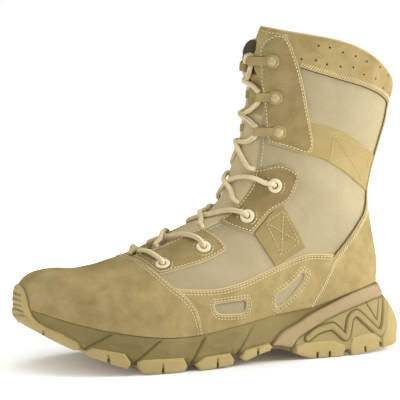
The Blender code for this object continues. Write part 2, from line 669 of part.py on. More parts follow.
# Lacing: eyelets and rivets seen from the side as (s, z), lowest first
EYELETS = [(206, 76), (177, 87), (138, 107), (119, 128)]
RIVETS = [(114, 166), (115, 191), (117, 217)]
LACING_LIFT = GAP + LEATHER + GAP
EYELET_PROFILE = [(2.3, 0.0), (4.3, 0.0), (3.7, 1.1), (2.3, 0.9)]
RIVET_PROFILE = [(3.5, 0.0), (2.7, 1.0), (0.0, 1.6)]
LOOP_HALF = 4.2
LOOP_STRAP = 1.2
LOOP_RADIUS = 3.0
LOOP_PAST = 4.2


def locate(s, z, side):
    """Row and share of the place on the last that shows at (s, z) from the side."""
    row_span, share_span = (5.0, float(TOP_ROW)), (0.05, 0.999)
    for _ in range(4):
        rows = np.linspace(*row_span, 61)[:, None]
        shares = np.linspace(*share_span, 61)[None, :]
        point = last_point(rows, shares, side)
        miss = np.hypot(point[..., 0] - s, point[..., 2] - z)
        i, j = np.unravel_index(miss.argmin(), miss.shape)
        row, share = float(rows[i, 0]), float(shares[0, j])
        row_step, share_step = 2 * (rows[1, 0] - rows[0, 0]), 2 * (shares[0, 1] - shares[0, 0])
        row_span = (max(row - row_step, 0.0), min(row + row_step, TOP_ROW))
        share_span = (max(share - share_step, 0.0), min(share + share_step, 1.0))
    return row, share


def front_point(row, y, lift):
    """A point of the front of the last at a signed distance from its middle line."""
    side = LATERAL if y < 0 else MEDIAL
    wide = abs(float(smooth(column("wide_lat" if side == LATERAL else "wide_med"), row)))
    middle, power = float(smooth(column("wide_at"), row)), float(smooth(column("power"), row))
    turn = math.acos(min(abs(y) / wide, 1.0) ** (power / 2)) / (math.pi / 2)
    share = middle + (1.0 - middle) * min(turn, 0.999)
    return last_point(row, share, side) + lift * last_normal(row, share, side)


def surface_frame(s, z, side, lift):
    """A placing matrix on the upper: local x level towards the toe, local z outward."""
    row, share = locate(s, z, side)
    normal = last_normal(row, share, side)
    place = last_point(row, share, side) + lift * normal
    out = Vector((-normal[0], normal[1], normal[2]))
    forward = Vector((-1.0, 0.0, 0.0))
    forward = (forward - out * forward.dot(out)).normalized()
    matrix = Matrix((forward, out.cross(forward), out)).transposed().to_4x4()
    matrix.translation = Vector(to_world(place))
    return matrix


def add_local(name, finish, matrix, points, faces):
    """A named solid from local points in millimetres."""
    mesh = bpy.data.meshes.new(name)
    mesh.from_pydata([matrix @ (Vector(point) * MM) for point in points], [], faces)
    solid = bmesh.new()
    solid.from_mesh(mesh)
    bmesh.ops.remove_doubles(solid, verts=solid.verts, dist=0.00001)
    bmesh.ops.recalc_face_normals(solid, faces=solid.faces)
    solid.to_mesh(mesh)
    solid.free()
    mesh.materials.append(FINISHES[finish])
    obj = bpy.data.objects.new(name, mesh)
    BOOT.objects.link(obj)
    return obj


def turned(profile, sides, ring):
    """Points and faces of a profile of (radius, height) turned about local z."""
    points = [(r * math.cos(2 * math.pi * k / sides), r * math.sin(2 * math.pi * k / sides), h)
              for r, h in profile for k in range(sides)]
    rows = len(profile)
    faces = []
    for i in range(rows if ring else rows - 1):
        for k in range(sides):
            a, b = i * sides + k, i * sides + (k + 1) % sides
            c, d = ((i + 1) % rows) * sides + (k + 1) % sides, ((i + 1) % rows) * sides + k
            faces.append((a, b, c, d))
    if not ring:
        faces.append(tuple(range(sides - 1, -1, -1)))
    return points, faces


def hook_strip(reach):
    """The webbing loop seen along its width: a tail, then a turn round the lace."""
    bend = [(reach + LOOP_RADIUS * math.sin(a), -LOOP_RADIUS + LOOP_RADIUS * math.cos(a))
            for a in (0.0, 0.7, 1.4, 2.1, 2.8, 3.6)]
    return np.array([(-4.5, 0.0), (reach * 0.5, 0.0)] + bend)


def add_loop(name, matrix, reach):
    path = hook_strip(reach)
    runs = np.gradient(path, axis=0)
    runs = runs / np.linalg.norm(runs, axis=1, keepdims=True)
    normal = np.stack([-runs[:, 1], runs[:, 0]], axis=-1)
    section = np.concatenate([path + LOOP_STRAP * normal, path[::-1]])
    count = len(section)
    points = [(x, y, h) for y in (-LOOP_HALF, LOOP_HALF) for x, h in section]
    faces = [(i, (i + 1) % count, count + (i + 1) % count, count + i) for i in range(count)]
    for first in (0, count):
        faces += [(first + i, first + i + 1, first + count - 2 - i, first + count - 1 - i)
                  for i in range(len(path) - 1)]
    return add_local(name, "webbing", matrix, points, faces)


def throat_row(z, side):
    """The row where the edge of the lacing gap on the shaft has this height."""
    rows = np.linspace(HEEL_ROW, TOP_ROW, 400)
    edge = last_point(rows, throat_share(rows, side), side)
    return float(rows[np.abs(edge[:, 2] - z).argmin()])


def edge_distance(s, z, side):
    """How far a rivet is from the edge of the lacing gap at its own height."""
    row = throat_row(z, side)
    edge = last_point(row, throat_share(row, side), side)
    return float(np.linalg.norm(edge - last_point(*locate(s, z, side), side)))


def make_hardware():
    for side in (LATERAL, MEDIAL):
        label = side_name(side)
        for index, (s, z) in enumerate(EYELETS, 1):
            matrix = surface_frame(s, z, side, LACING_LIFT + 0.25)
            add_local(f"eyelet_{label}_{index}", "eyelet_enamel", matrix, *turned(EYELET_PROFILE, 10, True))
        for index, (s, z) in enumerate(RIVETS, 1):
            matrix = surface_frame(s, z, side, LACING_LIFT + 0.6)
            add_loop(f"lace_loop_{label}_{index}", matrix, edge_distance(s, z, side) + LOOP_PAST)
            matrix = surface_frame(s, z, side, LACING_LIFT + 0.6 + LOOP_STRAP + GAP)
            add_local(f"rivet_{label}_{index}", "eyelet_enamel", matrix, *turned(RIVET_PROFILE, 8, False))


def lacing_row(index):
    """Row on the last and half distance from the middle where the lace leaves each lacing point."""
    s, z = (EYELETS + RIVETS)[index]
    row, share = locate(s, z, LATERAL)
    if index < len(EYELETS):
        half = abs(float(last_point(row, share, LATERAL)[1])) - LACE_AWAY
    else:
        row = throat_row(z, LATERAL)
        past = LOOP_PAST + LOOP_RADIUS + LOOP_STRAP + LACE_RADIUS + 3 * GAP
        half = float(smooth(column("throat"), row)) - past
    return row, max(half, 1.0)


def lace_path(first, last, flip, below=0.0):
    """A strand over the tongue between two lacing points, from one side to the other."""
    (row_a, half_a), (row_b, half_b) = lacing_row(first), lacing_row(last)
    points = []
    for t in np.linspace(0.0, 1.0, 5):
        row = row_a - below + (LACE_REST + t * (1.0 - 2.0 * LACE_REST)) * (row_b - row_a)
        y = -half_a + t * (half_a + half_b)
        throat = float(smooth(column("throat"), row))
        lift = 3.4 + 1.3 * float(ramp(abs(y), throat - 5.0, throat))
        points.append(front_point(row, flip * y, lift))
    return np.array(points)


def add_strand(name, path, finish):
    sides = 6
    runs = np.gradient(path, axis=0)
    points = []
    for place, run in zip(path, runs):
        run = run / np.linalg.norm(run)
        across = np.cross(run, (0.3, 0.0, 1.0))
        across = across / np.linalg.norm(across)
        other = np.cross(run, across)
        for k in range(sides):
            angle = 2 * math.pi * k / sides
            points.append(place + LACE_RADIUS * (math.cos(angle) * across + math.sin(angle) * other))
    faces = [tuple(range(sides)), tuple(range(len(points) - sides, len(points)))]
    for i in range(len(path) - 1):
        for k in range(sides):
            a, b = i * sides + k, i * sides + (k + 1) % sides
            faces.append((a, b, b + sides, a + sides))
    return add_solid(name, finish, np.array(points), faces)


def make_laces():
    add_strand("lace_bar", lace_path(0, 0, 1, below=0.1), "lace_cord")
    for index in range(len(EYELETS) + len(RIVETS) - 1):
        strand = add_strand(f"lace_cross_{index + 1}", lace_path(index, index + 1, 1), "lace_cord")
        other = add_strand(f"other strand {index + 1}", lace_path(index, index + 1, -1), None)
        boolean(strand, other, "UNION")


make_upper()
make_tongue()
make_insole()
make_midsole()
make_outsole()
make_heel_frame()
for heel_side in (LATERAL, MEDIAL):
    make_heel_pod(heel_side)
    make_heel_rib(heel_side)
make_overlays()
make_hardware()
make_laces()
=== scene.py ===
"""Looks of a left military desert boot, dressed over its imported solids.

The tables are in millimetres: s is the station from the back of the heel towards the toe, y the
distance from the middle line (lateral side negative) and z the height above the floor. Points of
the pieces are in the frame's own axes, with x = ORIGIN_STATION - s, and turn to metres last.
"""

import logging
import math
from collections.abc import Callable, Iterable, Sequence
from dataclasses import dataclass, field, replace
from enum import Enum
from functools import lru_cache
from typing import NamedTuple

import bmesh
import bpy
import numpy as np
from mathutils import Matrix, Vector
from mathutils.bvhtree import BVHTree
from mathutils.kdtree import KDTree


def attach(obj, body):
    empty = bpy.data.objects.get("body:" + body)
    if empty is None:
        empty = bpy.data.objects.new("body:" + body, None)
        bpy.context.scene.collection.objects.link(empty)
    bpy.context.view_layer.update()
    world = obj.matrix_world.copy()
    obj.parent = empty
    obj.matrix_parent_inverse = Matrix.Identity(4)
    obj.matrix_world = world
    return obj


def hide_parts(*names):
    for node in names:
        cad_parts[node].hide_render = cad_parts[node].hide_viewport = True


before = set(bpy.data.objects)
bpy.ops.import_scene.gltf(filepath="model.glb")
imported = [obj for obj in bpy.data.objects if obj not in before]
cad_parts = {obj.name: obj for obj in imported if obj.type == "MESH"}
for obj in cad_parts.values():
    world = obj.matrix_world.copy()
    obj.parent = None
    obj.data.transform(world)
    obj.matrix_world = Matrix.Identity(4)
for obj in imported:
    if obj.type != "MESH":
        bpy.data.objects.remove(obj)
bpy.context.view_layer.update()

LOG = logging.getLogger("boot")
MM = 0.001
ORIGIN_STATION = 153.0
HEEL_ROW = 14
TOP_ROW = 23
LOOP = 2 * HEEL_ROW
THROAT_ROW = 5.3
WALL = 2.2
LEATHER = 1.5

Outline = Sequence[tuple[float, float]]
Array = np.ndarray
Socket = bpy.types.NodeSocket


class Side(Enum):
    """A side of the left boot, with the sign of its y."""

    LATERAL = -1
    MEDIAL = 1


BOTH = (Side.LATERAL, Side.MEDIAL)


class Section(NamedTuple):
    """One section of the last, from the sole or back seam to the front ridge.

    It starts at foot, ends at ridge, and is widest a share wide_at of the way between them. power rounds
    the part above that, bow bends the section up and back, and throat is half the lacing gap.
    """

    name: str
    foot_s: float
    foot_lat: float
    foot_med: float
    foot_z: float
    ridge_s: float
    ridge_z: float
    wide_lat: float
    wide_med: float
    wide_at: float
    power: float
    bow: float
    throat: float


class Tread(NamedTuple):
    """The tread under one section: outline at the floor, and heights of its bottom and top."""

    name: str
    floor_s: float
    floor_lat: float
    floor_med: float
    bottom_z: float
    top_z: float


SECTIONS = (
    Section("toe tip", 301.0, 6.0, 6.0, 46.0, 300.0, 54.0, 6.0, 6.0, 0.50, 2.0, 0.0, 0.0),
    Section("toe front", 297.0, -9.0, 19.0, 45.0, 295.5, 61.0, -9.5, 20.0, 0.45, 2.2, 0.0, 0.0),
    Section("toe round", 288.0, -21.0, 29.0, 42.5, 287.3, 66.4, -22.0, 30.0, 0.42, 2.3, 0.0, 0.0),
    Section("toe box", 272.0, -33.5, 37.5, 37.5, 272.5, 68.4, -35.0, 39.0, 0.40, 2.4, 0.0, 0.0),
    Section("toe crease", 250.0, -43.0, 43.0, 32.0, 251.0, 67.9, -45.0, 44.5, 0.36, 2.4, 0.0, 0.0),
    Section("ball", 226.0, -48.5, 45.5, 27.5, 226.0, 73.7, -50.0, 46.5, 0.33, 2.3, 0.0, 4.0),
    Section("vamp", 204.0, -49.0, 43.5, 25.2, 202.0, 83.2, -50.0, 45.0, 0.30, 2.2, 0.0, 12.0),
    Section("waist", 178.0, -45.5, 39.5, 25.5, 176.0, 95.3, -47.0, 42.5, 0.28, 2.1, 0.0, 15.0),
    Section("instep", 150.0, -41.5, 34.5, 29.5, 158.0, 104.0, -44.5, 40.5, 0.30, 2.1, 0.0, 17.0),
    Section("arch", 120.0, -37.5, 31.5, 34.5, 148.0, 111.5, -42.0, 40.0, 0.34, 2.1, 0.0, 18.0),
    Section("heel front", 90.0, -35.0, 31.0, 38.5, 143.0, 119.5, -40.0, 38.5, 0.38, 2.1, 0.0, 19.0),
    Section("heel", 62.0, -33.0, 31.0, 45.5, 140.0, 127.0, -38.0, 37.5, 0.42, 2.1, 0.0, 19.5),
    Section("heel round", 41.0, -27.0, 26.0, 50.0, 138.2, 133.0, -37.0, 37.0, 0.46, 2.1, 0.0, 20.0),
    Section("heel turn", 29.8, -15.5, 15.5, 50.0, 137.2, 137.5, -36.8, 36.8, 0.48, 2.1, 0.0, 20.0),
    Section("heel back", 24.5, 0.0, 0.0, 49.0, 136.5, 141.5, -36.5, 36.5, 0.50, 2.1, 0.0, 20.0),
    Section("counter", 24.5, 0.0, 0.0, 66.0, 135.3, 150.0, -37.0, 37.0, 0.50, 2.1, 0.0, 20.5),
    Section("counter top", 29.0, 0.0, 0.0, 88.0, 133.8, 160.0, -37.5, 37.5, 0.50, 2.1, 0.0, 21.0),
    Section("achilles", 33.0, 0.0, 0.0, 112.0, 132.2, 170.5, -38.0, 38.0, 0.50, 2.1, 0.0, 21.0),
    Section("ankle cuff", 31.0, 0.0, 0.0, 130.0, 130.8, 179.5, -38.5, 38.5, 0.50, 2.1, 1.0, 21.0),
    Section("shaft", 25.0, 0.0, 0.0, 150.0, 129.0, 190.5, -39.5, 39.5, 0.50, 2.1, 3.0, 20.5),
    Section("shaft top", 19.0, 0.0, 0.0, 170.0, 128.0, 203.0, -41.0, 41.0, 0.50, 2.1, 6.0, 18.5),
    Section("collar seam", 17.0, 0.0, 0.0, 181.0, 129.0, 213.0, -42.0, 42.0, 0.50, 2.1, 9.0, 14.0),
    Section("collar", 14.0, 0.0, 0.0, 192.0, 127.0, 229.0, -42.5, 42.5, 0.50, 2.1, 10.0, 11.5),
    Section("collar rim", 12.5, 0.0, 0.0, 198.5, 121.0, 243.0, -42.0, 42.0, 0.50, 2.1, 10.0, 10.0),
)

TREADS = (
    Tread("toe tip", 300.0, 6.0, 6.0, 35.0, 42.0),
    Tread("toe front", 296.5, -9.0, 20.0, 31.5, 38.0),
    Tread("toe round", 288.0, -23.0, 31.5, 25.5, 32.0),
    Tread("toe box", 272.0, -37.0, 42.0, 17.5, 24.0),
    Tread("toe crease", 250.0, -47.0, 49.0, 8.8, 17.5),
    Tread("ball", 226.0, -51.8, 51.8, 1.2, 11.0),
    Tread("vamp", 204.0, -52.0, 49.5, 0.0, 9.5),
    Tread("waist", 178.0, -50.0, 44.5, 0.0, 10.0),
    Tread("instep", 150.0, -46.0, 39.0, 2.5, 13.0),
    Tread("arch", 120.0, -41.5, 35.0, 9.0, 15.5),
    Tread("heel front", 90.0, -39.5, 36.0, 0.0, 13.0),
    Tread("heel", 60.0, -39.0, 37.5, 0.0, 14.0),
    Tread("heel round", 28.0, -33.0, 32.0, 3.0, 17.5),
    Tread("heel turn", 8.0, -19.5, 19.5, 5.0, 31.0),
    Tread("heel back", 0.0, 0.0, 0.0, 7.0, 37.0),
)

# Outlines of the sewn panels, seen from the side as (s, z)
VAMP = [(330, 15), (330, 110), (220.5, 110), (220.5, 80), (219.4, 77.3), (218, 75.3), (215.2, 71.8),
        (211, 67), (204, 60), (195, 53), (187, 43), (182, 28), (180, 12)]
MUDGUARD = [(206, 60), (190, 58), (170, 57), (151, 60), (133, 66), (113, 73), (97, 77), (84, 77),
            (64, 74.5), (71, 62), (79, 48), (85, 38.5), (86, 15), (185, 10), (188, 28), (193, 43), (203, 53)]
WINDOWS = (
    [(172, 46), (147, 47.5), (145.5, 45), (146, 40.5), (150, 38), (166, 39), (170, 41.5)],
    [(121, 42.5), (120, 50), (110, 55.5), (99.5, 64.5), (97, 63), (101, 56), (110, 46), (119, 40)],
)
COUNTER = [(95, 20), (93.4, 38), (87.6, 48), (79.4, 62), (73.6, 73), (62, 85), (53, 95), (44, 104),
           (38.5, 113), (36.5, 125), (33, 140), (29.5, 152), (24, 170), (20.5, 184), (-20, 184), (-20, 20)]
EYESTAY_LOW = [(220, 110), (220, 80), (218, 76.4), (211, 67.7), (192, 72), (175, 76), (160, 82), (158, 86),
               (161.5, 91.5), (166, 95.5), (172, 100), (190, 114)]
EYESTAY_MID = [(160, 106), (153, 99.5), (148, 97), (140, 94.3), (135.5, 95), (121.5, 108), (114, 112),
               (106, 118), (100, 133), (102, 138), (113, 143), (125, 140), (134, 138), (160, 130)]
EYESTAY_TOP = [(121.3, 158.6), (107, 154), (97, 150), (92, 152), (91, 158), (92, 165), (95, 182), (98, 199),
               (102, 215), (106, 229), (108.5, 236), (113.3, 235.8), (115.5, 235), (117.6, 233.7),
               (119.7, 231.8), (121.4, 229.5), (122.6, 226.8), (123.3, 223), (123.3, 212), (121.9, 194),
               (121.6, 186), (121.6, 170)]
ANKLE_STRAP = [(94, 173), (81, 170), (69, 166), (55, 159), (38, 149.5), (26, 144), (32, 117),
               (41, 121), (53, 128), (63, 135), (75, 142), (85, 147), (96, 150)]
INSTEP_STRAP = [(136, 93), (119, 110), (112, 114), (96.5, 82), (122, 70)]
COLLAR = [(150, 222), (150, 262), (-20, 262), (-20, 180), (10, 179), (16, 181.5), (22, 185.5), (33, 191.4),
          (44, 195.8), (57, 200), (70, 203.4), (80, 206.4), (91, 209.6), (102, 213), (114, 214),
          (119, 206), (150, 200)]

# Corners of the stitched box on each strap, as (s, z)
ANKLE_BOX = ((75, 164), (78, 144), (40, 150), (43, 124))
INSTEP_BOX = ((126, 101), (112, 109), (117, 77), (102, 86))

# Blocks of the tread on the side of the sole, as (s, z)
LUGS = (
    [(269.9, 21.4), (271.2, 23.8), (280, 29.4), (288.4, 33.2), (293.2, 36.6), (296, 40.6), (298, 46),
     (325, 60), (325, -20), (269.9, -20)],
    [(266, 18.2), (261.3, 20.4), (240.2, 15.6), (236.4, 9.8), (236.4, -20), (266, -20)],
    [(231.3, 9.2), (228, 11.2), (197, 10), (193.7, 3.6), (193.7, -20), (231.3, -20)],
    [(187.4, 4.6), (183, 7.6), (179.5, 9.2), (159.1, 9.8), (154.9, 3.4), (154.9, -20), (187.4, -20)],
    [(151.4, 5.4), (146.7, 10.6), (126.3, 14), (123.9, 11.8), (127, 6.6), (127, -20), (151.4, -20)],
    [(104.7, 9.6), (97.1, 11.9), (90.5, 12.7), (73.7, 12.3), (70.8, 11.3), (64.8, 8.6), (63.3, 3.2),
     (63.3, -20), (104.7, -20)],
    [(60, 8), (57.8, 13.3), (44.1, 15.4), (37.5, 15.2), (32.7, 11.4), (32.7, -20), (60, -20)],
    [(30.8, 3), (30.8, 11), (27.5, 15), (25.2, 20), (22.3, 28.5), (17, 38.5), (12, 41), (-30, 41), (-30, -20),
     (30.8, -20)],
)

PINHOLES = ((100, 220), (91, 218), (82, 216), (72, 214), (62, 212), (52, 208), (41, 204), (33, 197),
            (24, 193), (89, 229), (80, 227), (71, 224), (61, 221), (50, 217), (38, 212), (28, 206))


def smooth(values: object, at: object, before: object = None, after: object = None) -> Array:
    """A smooth curve through rows of values.

    Args:
        values: The rows that the curve passes through.
        at: Fractional row numbers to read.
        before: The row before the first, for a closed curve.
        after: The row after the last, for a closed curve.

    Returns:
        The curve's values at those row numbers.
    """
    values = np.asarray(values, float)
    at = np.clip(np.asarray(at, float), 0, len(values) - 1)
    first = 2 * values[0] - values[1] if before is None else np.asarray(before, float)
    last = 2 * values[-1] - values[-2] if after is None else np.asarray(after, float)
    rows = np.concatenate([first[None], values, last[None]])
    index = np.minimum(at.astype(int), len(values) - 2)
    part = (at - index).reshape(at.shape + (1,) * (values.ndim - 1))
    a, b, c, d = (rows[index + k] for k in range(4))
    bend = 2 * a - 5 * b + 4 * c - d + part * (3 * (b - c) + d - a)
    return b + 0.5 * part * (c - a + part * bend)


def ramp(value: object, low: float, high: float) -> Array:
    """A soft step from 0 at low to 1 at high."""
    part = np.clip((np.asarray(value, float) - low) / (high - low), 0.0, 1.0)
    return part * part * (3.0 - 2.0 * part)


def quarter(part: object) -> Array:
    """The height of a quarter round from 0 to 1."""
    return np.sqrt(1.0 - (1.0 - np.clip(np.asarray(part, float), 0.0, 1.0)) ** 2)


def bump(value: object, middle: float, width: float) -> Array:
    """A soft bell of height 1 about a middle value."""
    return np.exp(-(((np.asarray(value, float) - middle) / width) ** 2))


def unit(vectors: Array) -> Array:
    """Vectors scaled to length 1."""
    return vectors / np.maximum(np.linalg.norm(vectors, axis=-1, keepdims=True), 1e-9)


def smooth_outline(points: Outline, sharp_deg: float = 42.0, step: float = 2.0) -> Array:
    """An outline with soft curves between its sharp corners.

    Args:
        points: Corners of a closed outline.
        sharp_deg: Turns above this stay sharp.
        step: Distance between the points that are returned.

    Returns:
        Points of the closed outline.
    """
    corners = np.asarray(points, float)
    run = np.roll(corners, -1, axis=0) - corners
    heading = np.arctan2(run[:, 1], run[:, 0])
    turn = np.abs((heading - np.roll(heading, 1) + math.pi) % (2 * math.pi) - math.pi)
    sharp = list(np.flatnonzero(turn > math.radians(sharp_deg))) or [0]
    made = []
    for k, first in enumerate(sharp):
        last = sharp[(k + 1) % len(sharp)]
        count = (last - first) % len(corners) or len(corners)
        piece = corners[(first + np.arange(count + 1)) % len(corners)]
        length = np.linalg.norm(np.diff(piece, axis=0), axis=1).sum()
        at = np.linspace(0, count, max(int(length / step), count) + 1)[:-1]
        made.append(smooth(piece, at) if count > 1 else piece[0] + at[:, None] * (piece[1] - piece[0]))
    return np.concatenate(made)


def outline_distance(points: Array, outline: Array) -> tuple[Array, Array]:
    """Signed distance to a closed outline, negative inside.

    Args:
        points: Points of the side view.
        outline: Points of the closed outline.

    Returns:
        The distance at each point, and the unit way in which it grows.
    """
    start, run = outline, np.roll(outline, -1, axis=0) - outline
    away = points[:, None, :] - start[None]
    part = np.clip((away * run).sum(-1) / np.maximum((run * run).sum(-1), 1e-9), 0.0, 1.0)
    gap = away - part[..., None] * run
    square = (gap * gap).sum(-1)
    best = square.argmin(axis=1)
    near = gap[np.arange(len(points)), best]
    distance = np.sqrt(square[np.arange(len(points)), best])
    end = start + run
    crosses = (start[None, :, 1] > points[:, None, 1]) != (end[None, :, 1] > points[:, None, 1])
    rise = np.where(np.abs(run[:, 1]) < 1e-9, 1e-9, run[:, 1])
    reach = start[:, 0] + (points[:, None, 1] - start[:, 1]) * run[:, 0] / rise
    inside = (crosses & (points[:, None, 0] < reach)).sum(axis=1) % 2 == 1
    sign = np.where(inside, -1.0, 1.0)
    return sign * distance, sign[:, None] * unit(near)


def line_distance(points: Array, line: Outline) -> Array:
    """Distance to an open line.

    Args:
        points: Points of the side view.
        line: Corners of the line.

    Returns:
        The distance at each point.
    """
    line = np.asarray(line, float)
    start, run = line[:-1], np.diff(line, axis=0)
    away = points[:, None, :] - start[None]
    part = np.clip((away * run).sum(-1) / np.maximum((run * run).sum(-1), 1e-9), 0.0, 1.0)
    return np.linalg.norm(away - part[..., None] * run, axis=-1).min(axis=1)


@dataclass
class Skin:
    """Triangles on the upper, with the values that each of their points carries.

    place and normal are in the frame's axes, flat is the point's place in the tables' side view as
    (s, z), cloth is a flat place in the material, and throat_gap and rim_gap are distances to the
    edges of the lacing gap and of the collar.
    """

    fields: dict[str, Array]
    faces: Array

    def __getitem__(self, name: str) -> Array:
        """One of the values of every point."""
        return self.fields[name]

    def with_field(self, name: str, value: Array) -> "Skin":
        """The same triangles with one more value at each point."""
        return Skin({**self.fields, name: value}, self.faces)

    def _cross(self, name: str, level: float) -> tuple[Array, Array, Array, Array, dict[str, Array]]:
        """Triangles that a level passes through, lone corner first, and the points where it does.

        Args:
            name: The value that is crossed.
            level: Its level.

        Returns:
            A mask of those triangles, their corners, two new point numbers for each, and the new points'
            values.
        """
        value = self.fields[name] - level
        corner = (value > 0.0)[self.faces]
        count = corner.sum(axis=1)
        mixed = (count == 1) | (count == 2)
        lone = np.where(count == 1, corner.argmax(axis=1), corner.argmin(axis=1))[mixed]
        turned = np.take_along_axis(self.faces[mixed], (lone[:, None] + np.arange(3)) % 3, axis=1)
        ends = np.sort(np.concatenate([turned[:, [0, 1]], turned[:, [0, 2]]]), axis=1)
        ends, where = np.unique(ends, axis=0, return_inverse=True)
        where = where.reshape(-1)
        first, second = ends.T
        part = value[first] / (value[first] - value[second])
        made = {}
        for key, data in self.fields.items():
            share = part.reshape(-1, *([1] * (data.ndim - 1)))
            made[key] = data[first] + share * (data[second] - data[first])
        return mixed, turned, where[: len(turned)], where[len(turned):], made

    def split(self, name: str, *levels: float) -> "Skin":
        """The same surface with edges along levels of one of its values.

        Args:
            name: The value.
            levels: The levels to cut at.

        Returns:
            The cut surface.
        """
        skin = self
        for level in levels:
            mixed, turned, ab, ac, made = skin._cross(name, level)
            start = len(skin.fields[name])
            a, b, c = turned.T
            ab, ac = ab + start, ac + start
            new = [np.stack(face, axis=1) for face in ((a, ab, ac), (ab, b, c), (ab, c, ac))]
            fields = {key: np.concatenate([data, made[key]]) for key, data in skin.fields.items()}
            fields["normal"] = unit(fields["normal"])
            skin = Skin(fields, np.concatenate([skin.faces[~mixed], *new]))
        return skin

    def above(self, name: str, level: float = 0.0) -> "Skin":
        """The part of the surface where a value is above a level.

        Args:
            name: The value.
            level: The level to cut at.

        Returns:
            The part that is kept.
        """
        skin = self.split(name, level)
        faces = skin.faces[skin[name][skin.faces].mean(axis=1) > level]
        used, where = np.unique(faces, return_inverse=True)
        return Skin({key: data[used] for key, data in skin.fields.items()}, where.reshape(-1, 3))

    def contour(self, name: str, level: float) -> list[dict[str, Array]]:
        """Lines along a level of one value.

        Args:
            name: The value.
            level: Its level along the lines.

        Returns:
            The values of each line's points, in order.
        """
        _, _, ab, ac, made = self._cross(name, level)
        links: dict[int, list[int]] = {}
        for p, q in zip(ab.tolist(), ac.tolist()):
            links.setdefault(p, []).append(q)
            links.setdefault(q, []).append(p)
        starts = [p for p, ends in links.items() if len(ends) == 1] + list(links)
        seen: set[int] = set()
        lines = []
        for start in starts:
            if start in seen:
                continue
            chain, here = [start], start
            seen.add(start)
            while True:
                ahead = [q for q in links[here] if q not in seen]
                if not ahead:
                    break
                here = ahead[0]
                seen.add(here)
                chain.append(here)
            if len(chain) > 2 and start in links[here]:
                chain.append(start)
            if len(chain) > 2:
                lines.append({key: data[chain] for key, data in made.items()})
        return lines

    @staticmethod
    def joined(skins: Sequence["Skin"]) -> "Skin":
        """Several surfaces as one, welded where their points meet.

        Args:
            skins: Surfaces with the same values.

        Returns:
            The joined surface.
        """
        keys = skins[0].fields
        fields = {key: np.concatenate([skin[key] for skin in skins]) for key in keys}
        starts = np.cumsum([0] + [len(skin["place"]) for skin in skins])
        faces = np.concatenate([skin.faces + start for skin, start in zip(skins, starts)])
        rounded = np.round(fields["place"], 3) + 0.0
        _, first, where = np.unique(rounded, axis=0, return_index=True, return_inverse=True)
        faces = where.reshape(-1)[faces]
        real = (faces[:, 0] != faces[:, 1]) & (faces[:, 1] != faces[:, 2]) & (faces[:, 2] != faces[:, 0])
        return Skin({key: data[first] for key, data in fields.items()}, faces[real])


